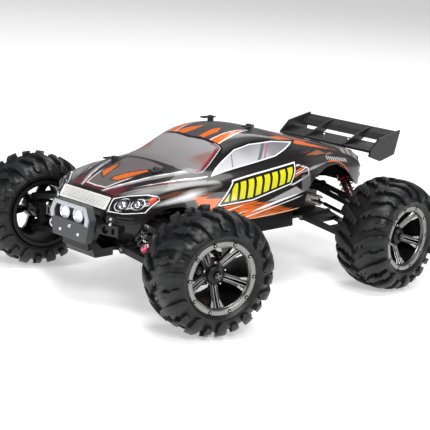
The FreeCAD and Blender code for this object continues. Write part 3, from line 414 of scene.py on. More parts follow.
@dataclass(frozen=True)
class BodyFilm(Finish):
    """Glossy printed body: black with orange streaks, grey glass areas and thin white lines, under painted
    highlights and reflections.
    """

    side_glass: tuple[Point2, ...] = ((46.8, 90.3), (29.4, 98.5), (14.9, 105.2), (-0.6, 108.1), (-24, 108.8),
                                      (-46, 106.8), (-19.2, 99.5))
    screen: tuple[Point2, ...] = ((66.0, -2), (65.5, 12), (63.5, 24), (55.5, 38), (50.5, 39.2), (23.0, 30.6),
                                  (25.0, 15), (25.5, -2))
    bonnet: tuple[Point2, ...] = ((117.0, -3), (115.4, 12.8), (111.0, 14.2), (94, 17.0), (68, 24.5), (66, -3))
    near_flame: tuple[Point2, ...] = ((105, 5.0), (101, 2.4), (91, 8.6), (73, 17.6), (74, 19.2), (95, 13.8),
                                      (104, 9.6))
    far_flame: tuple[Point2, ...] = ((104.5, 4.4), (98.5, 13.4), (82, 13.2), (88, 9.4))
    roof_flame: tuple[Point2, ...] = ((24, 6.5), (24, 12), (12, 14), (3, 10.5), (10, 7))
    far_roof: tuple[Point2, ...] = ((26, 8), (25, 20), (14, 12), (6, 4), (16, 4))
    roof_band: tuple[Point2, ...] = ((30, 17.4), (30, 30.5), (9.5, 26.4), (-14, 24.6), (-22, 22.0),
                                     (-6.0, 20.2))
    pillar_flame: tuple[Point2, ...] = ((-10, 112.0), (-36, 110.6), (-60, 105.4), (-92, 97.4), (-66, 100.4),
                                        (-45, 106.4))
    pillar_streak: tuple[Point2, ...] = ((-30, 26), (-64, 22), (-80, 29), (-66, 33))
    quarter_flame: tuple[Point2, ...] = ((-39, 99.6), (-70, 99.8), (-96, 94.4), (-70, 96.6), (-46, 96.8))
    door_flame: tuple[Point2, ...] = ((76, 83.5), (56, 82.5), (30, 76), (-2, 73), (-38, 63.5), (-38, 59),
                                      (54, 58),
                                      (66, 72))
    scoop: tuple[Point2, ...] = ((-22, 91.5), (-36, 92.5), (-44, 90), (-44, 86), (-26, 81), (-9, 80.5))
    panel: tuple[Point2, ...] = ((53, 71.6), (32.6, 87.6), (-34, 95.4), (-23, 80.6), (18, 73.0))
    lamp: tuple[Point2, ...] = ((25.4, 78.0), (31, 80.0), (40, 81.6), (46.5, 81.2), (47.6, 79.4),
                                (45.2, 71.6),
                                (35, 69.8), (26.4, 70.4))

    def dress(self, graph: Graph) -> dict[str, Any]:
        """Prints the body, region by region, from its ground colour up, and paints highlights and reflections
        over it.
        """
        spot = graph.place()
        x, y, z = graph.axes(spot)
        side = abs(y)
        ahead = 118.0 - x
        streak = graph.noise(graph.vector(x * 0.022, z * 0.34 + x * 0.02, side * 0.02), 1.0, 2.0) - 0.5
        ripple = graph.noise(graph.vector(x * 0.05, z * 0.9 + x * 0.06, 3.0), 1.0, 1.0) - 0.5
        lengthwise = graph.noise(graph.vector(x * 0.02, side * 0.22, 7.0), 1.0, 2.0) - 0.5
        flank = side.over(43.0, 2.0)
        ink = graph.mix((streak * 2.2 + 0.18).over(0.3, 0.9) * 0.8, Ink.BLACK.value, (0.016, 0.013, 0.012))

        def lay(mask: Field, colour: Union[Ink, Field, Colour], ground: Field) -> Field:
            """One ink over the ground where the mask is 1."""
            return graph.mix(mask, ground, colour.value if isinstance(colour, Ink) else colour)

        def ribbon(off: Field, thick: float, back: float, fore: float, soft: float = 0.45) -> Field:
            """Mask of a band that thins towards both ends.

            Args:
                off: Distance from the band's middle line.
                thick: Width at its middle.
                back: Rear end along the body.
                fore: Front end along the body.
                soft: Width of its blurred edge.

            Returns:
                1 in the band and 0 off it.
            """
            taper = (x - back).least(fore - x) * 0.06
            return (taper.least(thick / 2) - abs(off)).over(0.0, soft)

        def bowed(base: float, rise: float, sag: float) -> Field:
            """Line that bows as it runs back from the nose."""
            return ahead * rise - ahead * ahead * sag + base

        # flank: flames, then lines
        door = depth_in(self.door_flame, x, z) + streak * 9 + ripple * 3 + 0.6
        tone = graph.mix((ripple * 1.6 + (x - 10) * 0.012 + 0.55).over(0.35, 0.8), (0.115, 0.032, 0.008),
                         Ink.ORANGE.value)
        burning = door.over(0.5, 1.4) * flank
        ink = lay(burning, tone, ink)
        ink = lay((ripple + streak * 0.6).over(0.16, 0.10) * burning * (42 - x).over(0.0, 30.0),
                  (0.030, 0.010, 0.005), ink)
        ink = lay((door.over(-1.6, 0.8) * (1 - door.over(-0.6, 0.6))) * flank * 0.8, Ink.BLACK, ink)
        for slope, at, thick, back, fore in ((-0.155, 68.2, 1.5, -40, 20), (-0.165, 70.4, 0.5, 24, 62),
                                             (-0.15, 74.8, 0.5, 28, 80), (-0.145, 65.6, 0.5, -36, 30)):
            ink = lay(ribbon(z - x * slope - at, thick, back, fore) * flank, Ink.WHITE, ink)
        ink = lay(ribbon(z - x * -0.035 - 60.6, 0.7, -37, 34) * flank, (0.70, 0.42, 0.24), ink)
        vent = depth_in(((4, 70.5), (-29, 78.5), (-38, 73.6), (-8, 70.3)), x, z)
        ink = lay(vent.over(0.0, 0.5) * flank, (0.30, 0.30, 0.305), ink)
        # air scoop ahead of the rear wheel, with a painted highlight on its rear edge and along the silver
        # swoosh behind it
        scoop = depth_in(self.scoop, x, z)
        # painted highlight: silver on the scoop's rear edge
        ink = lay(scoop.over(-1.1, 0.4) * flank * (-19 - x).over(0.0, 3.0), Ink.SILVER, ink)
        ink = lay(scoop.over(0.0) * flank, Ink.BLACK, ink)
        for slope, at, thick, colour in ((-0.27, 78.4, 1.7, Ink.AMBER), (-0.22, 82.6, 1.0, Ink.ORANGE),
                                         (-0.25, 80.3, 0.5, Ink.WHITE), (-0.14, 87.2, 1.2, Ink.BROWN)):
            ink = lay(ribbon(z - x * slope - at, thick, -43, -9) * flank, colour, ink)
        # painted highlight: a soft silver swoosh behind the scoop
        swoosh_highlight = ribbon(z - x * -0.13 - 83.4, 3.4, -66, -38, 1.6) * flank
        ink = lay(swoosh_highlight * 0.8, Ink.SILVER, ink)
        ink = lay((-36 - x).over(0.0, 1.5) * (x + 47).over(0.0, 2.0) * (86 - z).over(0.0, 1.0) *
                  (z - 74).over(0.0, 2.0) * flank * 0.7, (0.16, 0.16, 0.165), ink)
        # rear quarter: a painted warm grey highlight, streaks, hatching, a pale tail patch and a thin arc
        # over the wheel
        # painted highlight: warm grey over the rear quarter, broken up by streaks
        quarter = (-50 - x).over(0.0, 16.0) * side.over(50.0, 3.0)
        ink = lay(quarter * (0.42 + streak * 1.2), (0.075, 0.070, 0.068), ink)
        flame = depth_in(self.quarter_flame, x, z) + ripple * 2 + streak * 4
        ink = lay(flame.over(0.3, 0.8) * flank * (-34 - x).over(0.0, 4.0),
                  graph.mix((x + 96) / 50, (0.16, 0.115, 0.09), (0.32, 0.075, 0.012)), ink)
        ring = abs(graph.length(x + 75.0, z - 62.0) - 30.6)
        ink = lay((0.42 - ring).over(0.0, 0.35) * (-72 - x).over(0.0, 2.0) * flank, Ink.ORANGE, ink)
        ticks = graph.math("PINGPONG", x + z * 0.4, 1.3)
        hatch = depth_in(((-72, 94), (-73, 96.2), (-98, 92.2), (-97, 89.6)), x, z)
        ink = lay(hatch.over(0.0, 0.3) * ticks.over(0.8, 0.3) * side.over(49.0, 1.0) * 0.7, Ink.WHITE, ink)
        tail = depth_in(((-99, 30), (-100, 46), (-118, 50), (-118, 28)), x, side)
        lid = (z - 88).over(0.0, 1.0)
        ink = lay(tail.over(0.4, 1.0) * lid * 0.85, (0.30, 0.29, 0.26), ink)
        slashes = graph.math("PINGPONG", x - side * 0.6, 3.4).over(2.6, 0.3)
        ink = lay(tail.over(0.8, 0.4) * lid * slashes, Ink.BLACK, ink)
        # panel with slanted yellow bars on the door
        panel = depth_in(self.panel, x, z)
        shown = side.over(43.0, 1.0)
        ink = lay(panel.over(-0.7, 0.3) * shown, Ink.BLACK, ink)
        ink = lay(panel.over(0.0, 0.25) * shown, Ink.WHITE, ink)
        ink = lay(panel.over(0.75, 0.25) * shown, Ink.BLACK, ink)
        bars = graph.math("PINGPONG", x + z * 0.42 + 100.0, 3.9)
        ink = lay(panel.over(2.3, 0.25) * bars.over(1.25, 0.25) * shown, Ink.YELLOW, ink)
        ink = lay(panel.over(2.3, 0.25) * bars.over(1.25) * shown * (graph.noise(spot, 3.0) * 0.35),
                  (0.40, 0.30, 0.0), ink)
        # bonnet: dark red by the nose, printed brown bands and painted silver and white reflection streaks
        # along its sides, a painted fender highlight, grey panel with flames
        nose = x.over(46.0, 3.0) * (118.5 - x).over(0.0, 1.0) * (z - 78).over(0.0, 1.0)
        ink = lay(nose * (x - 104).over(0.0, 14.0) * (24 - side).over(0.0, 6.0), (0.085, 0.012, 0.020), ink)
        wave = lengthwise * 3.0
        # grey and white bands: painted reflection streaks along the bonnet sides; the dark red band is print
        for sway, bow, span, share, colour in (
                (1, (12.2, 0.54, 0.003), (5.4, 42, 124, 1.5), 0.85, (0.33, 0.32, 0.32)),
                (1, (10.6, 0.54, 0.003), (1.1, 48, 124, 0.8), 1.0, Ink.WHITE),
                (1, (17.5, 0.70, 0.0046), (1.7, 42, 100, 0.9), 1.0, Ink.WHITE),
                (-1, (19.3, 0.66, 0.0040), (1.5, 60, 102, 0.8), 1.0, (0.16, 0.018, 0.016)),
                (0, (22.3, 0.62, 0.0030), (1.4, 66, 116, 0.8), 0.7, (0.30, 0.29, 0.29))):
            ink = lay(ribbon(side + wave * sway - bowed(*bow), *span) * nose * share, colour, ink)
        wing = side.over(26.0, 2.0) * x.over(44.0, 3.0)
        # grey band over the headlamp: painted reflection streak; the brown band after it is print
        ink = lay(ribbon(z + streak * 2 - bowed(79.3, 0.27, 0.0022), 1.8, 36, 114, 1.2) * wing * 0.8,
                  (0.34, 0.335, 0.33), ink)
        ink = lay(ribbon(z + streak * 2 - bowed(77.6, 0.17, 0.0007), 2.3, 66, 106, 1.4) * wing *
                  side.over(44.0, 1.0),
                  (0.115, 0.042, 0.022), ink)
        # painted highlight: a soft white glow along the front fender, brightest near its middle
        fender_highlight = ribbon(z + streak * 2 - bowed(73.6, 0.165, 0.0), 4.6, 40, 106, 3.2) * wing * side.over(47.0,
                                                                                                       3.0)
        ink = lay(fender_highlight * 0.95, graph.mix((abs(x - 84) * -0.05 + 1.0).over(0.1, 0.8), (0.16, 0.155, 0.15),
                                         Ink.WHITE.value), ink)
        bonnet = depth_in(self.bonnet, x, side) * nose
        tip = (x - 96).over(0.0, 6.0)
        ink = lay(bonnet.over(0.5) * tip, Ink.SILVER, ink)
        ink = lay(bonnet.over(0.5) * (1 - tip), Ink.BLACK, ink)
        smoke = graph.mix(graph.noise(spot, 30.0, 1.0), Ink.SMOKE.value, (0.10, 0.075, 0.075))
        ink = lay(bonnet.over(1.7, 0.3), smoke, ink)
        left = y.over(0.0, 0.2)
        near, far = side + (1 - left) * 200.0, side + left * 200.0
        for outline, across in ((self.near_flame, near), (self.far_flame, far)):
            flame = depth_in(outline, x, across) + lengthwise * 3
            ink = lay((flame + 1.3).over(0.0, 1.2) * bonnet.over(1.6), (0.045, 0.030, 0.028), ink)
            ink = lay(flame.over(0.1, 0.8) * bonnet.over(1.6),
                      graph.mix((lengthwise + 0.6).over(0.45, 0.5), (0.35, 0.07, 0.012), Ink.ORANGE.value),
                      ink)
        # roof, with a painted grey sheen on its flat top
        top = (26.0 - x).over(0.0, 0.6) * (z - 96).over(0.0, 1.0)
        # painted sheen: lighter grey over the flat roof top, fading out towards the rear
        ink = lay(top * (33 - side).over(0.0, 3.0) * (x + 24).over(0.0, 12.0) * 0.6, (0.085, 0.082, 0.082),
                  ink)
        for outline, across in ((self.roof_flame, near), (self.far_roof, far)):
            roof = depth_in(outline, x, across) + lengthwise * 3
            ink = lay(roof.over(0.2, 0.7) * top, Ink.ORANGE, ink)
        band = depth_in(self.roof_band, x, side)
        ink = lay(band.over(0.0, 0.3) * top, Ink.WHITE, ink)
        ink = lay(band.over(0.9, 0.3) * top, graph.mix((x * 0.03 + 0.5).over(0.1, 0.9), (0.20, 0.06, 0.03),
                                                     Ink.ORANGE.value), ink)
        behind = (-6 - x).over(0.0, 4.0) * (z - 92).over(0.0, 2.0)
        pillar = depth_in(self.pillar_flame, x, z) * 1.6 + lengthwise * 3 + ripple + 0.9
        ink = lay(pillar.over(0.2, 0.8) * behind * side.over(24.0, 5.0), Ink.ORANGE, ink)
        upper = depth_in(self.pillar_streak, x, side) + lengthwise * 6
        ink = lay(upper.over(0.4, 0.8) * behind, (0.42, 0.085, 0.012), ink)
        ink = lay((lengthwise * 2.0).over(0.42, 0.3) * behind * (26 - side).over(0.0, 4.0) * 0.6,
                  (0.16, 0.07, 0.04), ink)
        # windscreen, its glass painted grey with a painted reflection
        raised = (z - 88).over(0.0, 1.0)
        screen = depth_in(self.screen, x, side) * raised
        ink = lay((screen + 1.2).over(0.0, 0.3) * raised, Ink.BLACK, ink)
        ink = lay(screen.over(0.3, 0.25) * (1 - screen.over(0.75, 0.25)) * (side - 24).over(0.0, 2.0),
                  Ink.SILVER, ink)
        glass_reflection_noise = graph.noise(spot, 26.0, 1.0)
        # painted reflection on the glass: lighter and mottled towards the roof, darker at its base
        glass = graph.mix((x - 25) / 40.0, graph.mix(glass_reflection_noise, Ink.GLASS.value, (0.34, 0.33, 0.335)),
                          (0.17, 0.155, 0.155))
        ink = lay(screen.over(1.5), glass, ink)
        ink = lay(screen.over(1.5) * (side - (x * -0.55 + 47.0)).over(0.0, 5.0) *
                  (1 - (x - 47).over(0.0, 8.0)) * 0.75,
                  (0.22, 0.085, 0.065), ink)
        ink = lay(screen.over(1.5, 0.3) * (2.9 - screen).over(0.0, 0.5) * (side - 22).over(0.0, 2.0) *
                  (54 - x).over(0.0, 3.0) * (x - 27).over(0.0, 4.0), Ink.CRIMSON, ink)
        # side glass, painted as a reflection: pale low down, darker up high and to the rear, with silver
        # blotches
        window = depth_in(self.side_glass, x, z)
        seen = side.over(27.0, 1.0)
        rim = 0.62 - (z - 96).over(0.0, 8.0) * 0.18
        ink = lay((window + 1.3).over(0.0, 0.4) * seen, Ink.BLACK, ink)
        ink = lay((window + 0.1).over(0.0, 0.25) * seen, Ink.WHITE, ink)
        # painted reflection on the side glass: pale at the bottom, darker at the top and rear, with silver
        # blotches
        pane = graph.mix((z - 92) / 15.0, Ink.PALE_GLASS.value, (0.15, 0.15, 0.165))
        pane = graph.mix(glass_reflection_noise.over(0.5, 0.4) * 0.35, pane, Ink.SILVER.value)
        pane = graph.mix((-14 - x).over(0.0, 8.0) * 0.6, pane, (0.11, 0.105, 0.12))
        ink = lay((window - rim).over(0.0, 0.25) * seen, pane, ink)
        for at, lean, thick, colour in ((21.0, 0.55, 0.55, (0.16, 0.16, 0.17)),
                                        (-4.0, 1.15, 1.7, (0.09, 0.085, 0.10)),
                                        (-8.5, 1.15, 0.9, (0.36, 0.08, 0.14))):
            post = abs(x + (z - 99.0) * lean - at)
            ink = lay((thick - post).over(0.0, 0.4) * (window - rim - 0.2).over(0.0, 0.3) * seen * 0.85,
                      colour, ink)
        # headlights, with a painted glint on the print
        lamp = depth_in(self.lamp, side, z)
        fore = (x - 99).over(0.0, 1.0)
        ink = lay(lamp.over(-0.5, 0.2) * fore, Ink.WHITE, ink)
        ink = lay(lamp.over(-0.05, 0.2) * fore, Ink.BLACK, ink)
        ink = lay(lamp.over(0.4, 0.3) * fore * (side + z * 0.5 - 84.2).over(0.0), Ink.RED, ink)
        for middle, height, radius in HEADLAMPS:
            far_off = graph.length(side - middle, z - height)
            ink = lay((radius + 0.9 - far_off).over(0.0, 0.25) * (far_off - radius - 0.4).over(0.0, 0.25) *
                      fore * (0.5 + lengthwise * 3).over(0.2, 0.5), Ink.SILVER, ink)
        # painted glint: a silver streak across the lower headlamp print
        painted_lamp_glint = ribbon(z - side * 0.35 - 60.4, 1.0, 100, 125, 0.3) * lamp.over(0.8, 0.2) * fore
        ink = lay(painted_lamp_glint * 0.8, Ink.SILVER, ink)
        return {"Base Color": ink, "Roughness": 0.22 + graph.noise(spot, 20.0) * 0.08, "Metallic": 0.0,
                "Coat Weight": 0.8, "Coat Roughness": 0.05, "Coat IOR": 1.33, "Specular IOR Level": 0.12,
                "Normal": graph.bump(graph.noise(spot, 14.0, 0.0), 0.02)}


class Slot(Enum):
    """Material slots of the record, passed with each piece but not read."""

    BLACK_PLASTIC = "black_plastic"
    GREY_PLASTIC = "dark_grey_plastic"
    FILM = "body_film"
    LAMP = "lamp"
    RUBBER = "tyre_rubber"
    RIM = "rim_metal"
    STEEL = "steel"
    SHOCK_BLACK = "shock_black"
    SHOCK_RED = "shock_red"


BLACK_PLASTIC = Finish("moulded_black_plastic", (0.0045, 0.0045, 0.005), 0.38, relief=0.035, gloss=0.4)
GREY_PLASTIC = Finish("moulded_grey_plastic", (0.040, 0.041, 0.046), 0.40, relief=0.03)
WING_PLASTIC = Finish("wing_plastic", (0.0115, 0.0115, 0.012), 0.40, relief=0.04, grain=1.2, gloss=0.4)
PALE_TRIM = Finish("pale_grey_trim", (0.42, 0.42, 0.45), 0.32, 0.2, mottle=0.08)
SATIN_STEEL = Finish("satin_steel", (0.55, 0.55, 0.56), 0.28, 1.0, mottle=0.1, relief=0.01)
DARK_STEEL = Finish("blackened_steel", (0.07, 0.07, 0.072), 0.35, 1.0, mottle=0.2, relief=0.015)
MOTOR_CAN = Finish("motor_can", (0.16, 0.16, 0.165), 0.35, 1.0, mottle=0.1)
BRASS = Finish("brass", (0.62, 0.42, 0.14), 0.3, 1.0, mottle=0.15)
BATTERY_WRAP = Finish("battery_wrap", (0.03, 0.05, 0.16), 0.25, coat=0.6, relief=0.08, grain=6.0)
DARK_CHROME = Finish("dark_chrome", (0.115, 0.115, 0.115), 0.27, 0.95, mottle=0.3, relief=0.01)
# bright chrome: the lamp reflectors, and painted highlights on the wheels' bars
BRIGHT_CHROME = Finish("bright_chrome", (0.62, 0.62, 0.61), 0.30, 0.8, mottle=0.08, relief=0.01)
BARREL_BLACK = Finish("barrel_black", (0.004, 0.004, 0.004), 0.35, mottle=0.3, gloss=0.3)
# near-black with little gloss: painted shade in the wheels' slots, screw holes and groove
PAINTED_SHADE_BLACK = Finish("painted_recess_shade", (0.0015, 0.0015, 0.0015), 0.7, mottle=0.3, gloss=0.1)
SPRING_BLACK = Finish("spring_black", (0.018, 0.016, 0.018), 0.25, 0.3, coat=0.4)
SPRING_PINK = Finish("spring_crimson_wash", (0.20, 0.035, 0.05), 0.22, 0.6, coat=0.5)
CRIMSON_ANODISED = Finish("crimson_anodised", (0.45, 0.008, 0.055), 0.28, 0.75, coat=0.3, relief=0.02)
GEAR_PLASTIC = Finish("gear_plastic", (0.012, 0.012, 0.012), 0.4)
SHELL_LINING = Finish("shell_lining", (0.012, 0.012, 0.012), 0.5)
SILVER_MESH = Finish("silver_mesh", (0.78, 0.78, 0.76), 0.38, 0.1, mottle=0.06)
MESH_BACK = Finish("mesh_backing", (0.13, 0.13, 0.13), 0.4, mottle=0.1)
LAMP_GLASS = Finish("lamp_glass", (0.50, 0.51, 0.53), 0.06, 0.9, coat=1.0, mottle=0.3, relief=0.05, grain=1.5)
LED = Lamp("led", (0.22, 0.26, 0.36), 0.15)
FILM = BodyFilm("printed_body_film", (0.01, 0.01, 0.01))


# ---- mesh building -------------------------------------------------------------------------------
def round_edges(bm: bmesh.types.BMesh, edges: Sequence[bmesh.types.BMEdge], width: float,
                segments: int) -> None:
    """Rounds edges of a mesh that is being modelled."""
    bmesh.ops.bevel(bm, geom=edges, offset=width, offset_type="OFFSET", segments=segments, profile=0.5,
                    affect="EDGES", clamp_overlap=True, material=-1)


def written(bm: bmesh.types.BMesh, name: str) -> bpy.types.Mesh:
    """Mesh data with a modelled mesh's faces; the modelled mesh is freed."""
    mesh = bpy.data.meshes.new(name)
    bm.to_mesh(mesh)
    bm.free()
    return mesh


def linked(name: str, data: bpy.types.ID) -> bpy.types.Object:
    """New object in the scene."""
    made = bpy.data.objects.new(name, data)
    bpy.context.scene.collection.objects.link(made)
    return made


class Shape:
    """A mesh while it is modelled, in millimetres."""

    def __init__(self) -> None:
        """Starts empty."""
        self.bm = bmesh.new()

    @classmethod
    def box(cls, low: Point3, high: Point3) -> "Shape":
        """Block between two corners."""
        made = cls()
        size = Vector(high) - Vector(low)
        middle = (Vector(high) + Vector(low)) / 2
        bmesh.ops.create_cube(made.bm, size=1.0, matrix=Matrix.Translation(middle) @ Matrix.Diagonal((*size,
                                                                                                      1)))
        return made

    @classmethod
    def prism(cls, outline: Iterable[Point3], along: Point3) -> "Shape":
        """Solid swept by a flat outline.

        Args:
            outline: Corners of the outline in order.
            along: Sweep of the outline.

        Returns:
            The closed shape.
        """
        made = cls()
        base = made.bm.faces.new([made.bm.verts.new(p) for p in outline])
        swept = bmesh.ops.extrude_face_region(made.bm, geom=[base], use_keep_orig=True)
        moved = [g for g in swept["geom"] if isinstance(g, bmesh.types.BMVert)]
        bmesh.ops.translate(made.bm, verts=moved, vec=along)
        return made.outward()

    @classmethod
    def rod(cls, start: Point3, end: Point3, radius: float, tip: Optional[float] = None,
            sides: int = 24) -> "Shape":
        """Round bar or cone between two points."""
        made = cls()
        line = Vector(end) - Vector(start)
        turn = line.to_track_quat("Z", "Y").to_matrix().to_4x4()
        place = Matrix.Translation((Vector(start) + Vector(end)) / 2) @ turn
        bmesh.ops.create_cone(made.bm, cap_ends=True, segments=sides, radius1=radius,
                              radius2=radius if tip is None else tip, depth=line.length, matrix=place)
        return made

    @classmethod
    def spun(cls, profile: Sequence[Point2], closed: bool = True, steps: int = 72) -> "Shape":
        """Ring about the Y axis.

        Args:
            profile: Points as radius and Y.
            closed: Whether the profile closes on itself; an open one starts and ends on the axis.
            steps: Steps in a full turn.

        Returns:
            The closed shape.
        """
        made = cls()
        verts = [made.bm.verts.new((r, y, 0)) for r, y in profile]
        pairs = list(zip(verts, verts[1:])) + ([(verts[-1], verts[0])] if closed else [])
        edges = [made.bm.edges.new(pair) for pair in pairs]
        bmesh.ops.spin(made.bm, geom=verts + edges, cent=(0, 0, 0), axis=(0, 1, 0), dvec=(0, 0, 0),
                       angle=TURN,
                       steps=steps, use_merge=True, use_duplicate=False)
        bmesh.ops.remove_doubles(made.bm, verts=made.bm.verts, dist=WELD_DISTANCE)
        return made.outward()

    @classmethod
    def coil(cls, radius: float, wire: float, turns: float, pitch: float, steps: int = 20) -> "Shape":
        """Helix about the Z axis, starting at Z 0.

        Args:
            radius: Middle radius of the coil.
            wire: Radius of the wire.
            turns: Number of turns.
            pitch: Rise in one turn.
            steps: Steps in one turn.

        Returns:
            The closed shape.
        """
        made = cls()
        ring = bmesh.ops.create_circle(made.bm, cap_ends=False, segments=9, radius=wire,
                                       matrix=Matrix.Translation((radius, 0, 0)) @ Matrix.Rotation(TURN / 4,
                                                                                                   4, "X"))
        count = round(turns * steps)
        geom = list(ring["verts"]) + list({e for v in ring["verts"] for e in v.link_edges})
        bmesh.ops.spin(made.bm, geom=geom, cent=(0, 0, 0), axis=(0, 0, 1), dvec=(0, 0, pitch / steps),
                       angle=TURN * turns, steps=count, use_merge=False, use_duplicate=False)
        bmesh.ops.holes_fill(made.bm, edges=[e for e in made.bm.edges if e.is_boundary], sides=0)
        return made.outward()

    def outward(self) -> "Shape":
        """Turns every face to point out."""
        bmesh.ops.recalc_face_normals(self.bm, faces=self.bm.faces)
        return self

    def bevelled(self, width: float, segments: int = 2, angle: float = 30.0) -> "Shape":
        """Rounds the edges that turn by more than an angle."""
        sharp = [e for e in self.bm.edges if len(e.link_faces) == 2 and
                 e.calc_face_angle(0.0) > math.radians(angle)]
        round_edges(self.bm, sharp, width, segments)
        return self

    def sliced(self, stations: Sequence[float], normal: Point3) -> "Shape":
        """Adds edges where planes across a direction cut the shape."""
        for place in stations:
            bmesh.ops.bisect_plane(self.bm, geom=[*self.bm.verts, *self.bm.edges, *self.bm.faces],
                                   dist=WELD_DISTANCE, plane_co=Vector(normal) * place, plane_no=normal)
        return self

    def moved(self, matrix: Matrix) -> "Shape":
        """Puts the shape elsewhere; a mirrored one is turned right side out."""
        bmesh.ops.transform(self.bm, matrix=matrix, verts=self.bm.verts)
        return self.outward() if matrix.determinant() < 0 else self

    def at(self, x: float, y: float, z: float) -> "Shape":
        """Shifts the shape."""
        return self.moved(Matrix.Translation((x, y, z)))

    def copy(self) -> "Shape":
        """Another shape like this one."""
        made = Shape()
        made.bm = self.bm.copy()
        return made

    def joined(self, *others: "Shape") -> "Shape":
        """Takes other shapes' faces into this one."""
        for other in others:
            mesh = bpy.data.meshes.new("part")
            other.bm.to_mesh(mesh)
            self.bm.from_mesh(mesh)
            bpy.data.meshes.remove(mesh)
        return self

    def painted(self, index: int) -> "Shape":
        """Gives all faces one of the piece's materials."""
        for face in self.bm.faces:
            face.material_index = index
        return self

    def in_frame(self, name: str) -> bpy.types.Mesh:
        """Mesh data with the shape in the frame's metres; the shape is used up."""
        bmesh.ops.transform(self.bm, matrix=TO_FRAME, verts=self.bm.verts)
        return written(self.bm, name)


def both_sides(make: Callable[[int], Shape]) -> Shape:
    """A shape made for the left, with sign 1, and for the right, with sign -1."""
    return make(1).joined(make(-1))


@dataclass
class Bench:
    """Places finished pieces in the frame and keeps count of them."""

    made: list[str] = field(default_factory=list)

    def place(self, shape: Shape, name: str, finishes: Sequence[Finish], body: str, slot: Slot,
              replaces: Sequence[str] = (), smooth: float = 35.0) -> bpy.types.Object:
        """Turns a shape into a piece that rides on a body.

        Args:
            shape: Modelled shape in millimetres.
            name: Piece name.
            finishes: Finishes by the faces' material number.
            body: Body it rides on.
            slot: Record slot of its finish; not used.
            replaces: Frame nodes it stands for.
            smooth: Angle in degrees above which an edge stays sharp.

        Returns:
            The placed object.
        """
        return self.hang(shape.in_frame(name), name, finishes, body, replaces, smooth)

    def hang(self, mesh: bpy.types.Mesh, name: str, finishes: Sequence[Finish], body: str,
             replaces: Sequence[str] = (), smooth: float = 35.0) -> bpy.types.Object:
        """Makes a mesh that is already in the frame a piece."""
        mesh.polygons.foreach_set("use_smooth", [True] * len(mesh.polygons))
        mesh.set_sharp_from_angle(angle=math.radians(smooth))
        piece = linked(name, mesh)
        for i, finish in enumerate(finishes):
            if i < len(mesh.materials):
                mesh.materials[i] = finish.material()
            else:
                mesh.materials.append(finish.material())
        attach(piece, body)
        if replaces:
            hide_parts(*replaces)
        self.made.append(name)
        LOG.info("placed %s on %s, %d faces", name, body, len(mesh.polygons))
        return piece

    def soften(self, node: str, finish: Finish, width: float = 0.3) -> bpy.types.Object:
        """Stands a copy of a frame node with small rounded edges in its place.

        Args:
            node: Frame node.
            finish: Its finish.
            width: Width of the rounded edges.

        Returns:
            The piece.
        """
        source = frame["nodes"][node]
        bm = bmesh.new()
        bm.from_mesh(source.data)
        bmesh.ops.remove_doubles(bm, verts=bm.verts, dist=2e-6)
        bmesh.ops.dissolve_degenerate(bm, edges=bm.edges, dist=1e-6)
        bmesh.ops.dissolve_limit(bm, angle_limit=math.radians(0.6), verts=bm.verts, edges=bm.edges)
        name = node + "_part"
        piece = self.hang(written(bm, name), name, [finish], source["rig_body"], [node], 32.0)
        rounding = piece.modifiers.new("edges", "BEVEL")
        rounding.width = width * MM
        rounding.segments = 2
        rounding.limit_method = "ANGLE"
        rounding.angle_limit = math.radians(38)
        rounding.harden_normals = True
        return piece


# ---- wheels --------------------------------------------------------------------------------------
@dataclass(frozen=True)
class Corner:
    """One wheel's place."""

    code: str
    centre: Point3
    steer: float
    side: int

    @classmethod
    def named(cls, code: str) -> "Corner":
        """Reads a corner from its wheel joint."""
        joint = next(j for j in frame["joints"] if j["name"] == "wheel_spin_" + code)
        ax, ay = joint["axis"][0], joint["axis"][1]
        side = 1 if code[1] == "l" else -1
        return cls(code, tuple(to_millimetres(joint["pos_m"])), math.atan2(-ax, abs(ay)), side)

    def matrix(self) -> Matrix:
        """Puts a wheel built about the origin, with +Y outward, at this corner."""
        place = Matrix.Translation(self.centre) @ Matrix.Rotation(self.steer, 4, "Z")
        return place if self.side > 0 else place @ Matrix.Diagonal((1, -1, 1, 1))


class TyreTone(IntEnum):
    """Material numbers on the tyre."""

    BLOCK = 0
    CARCASS = 1


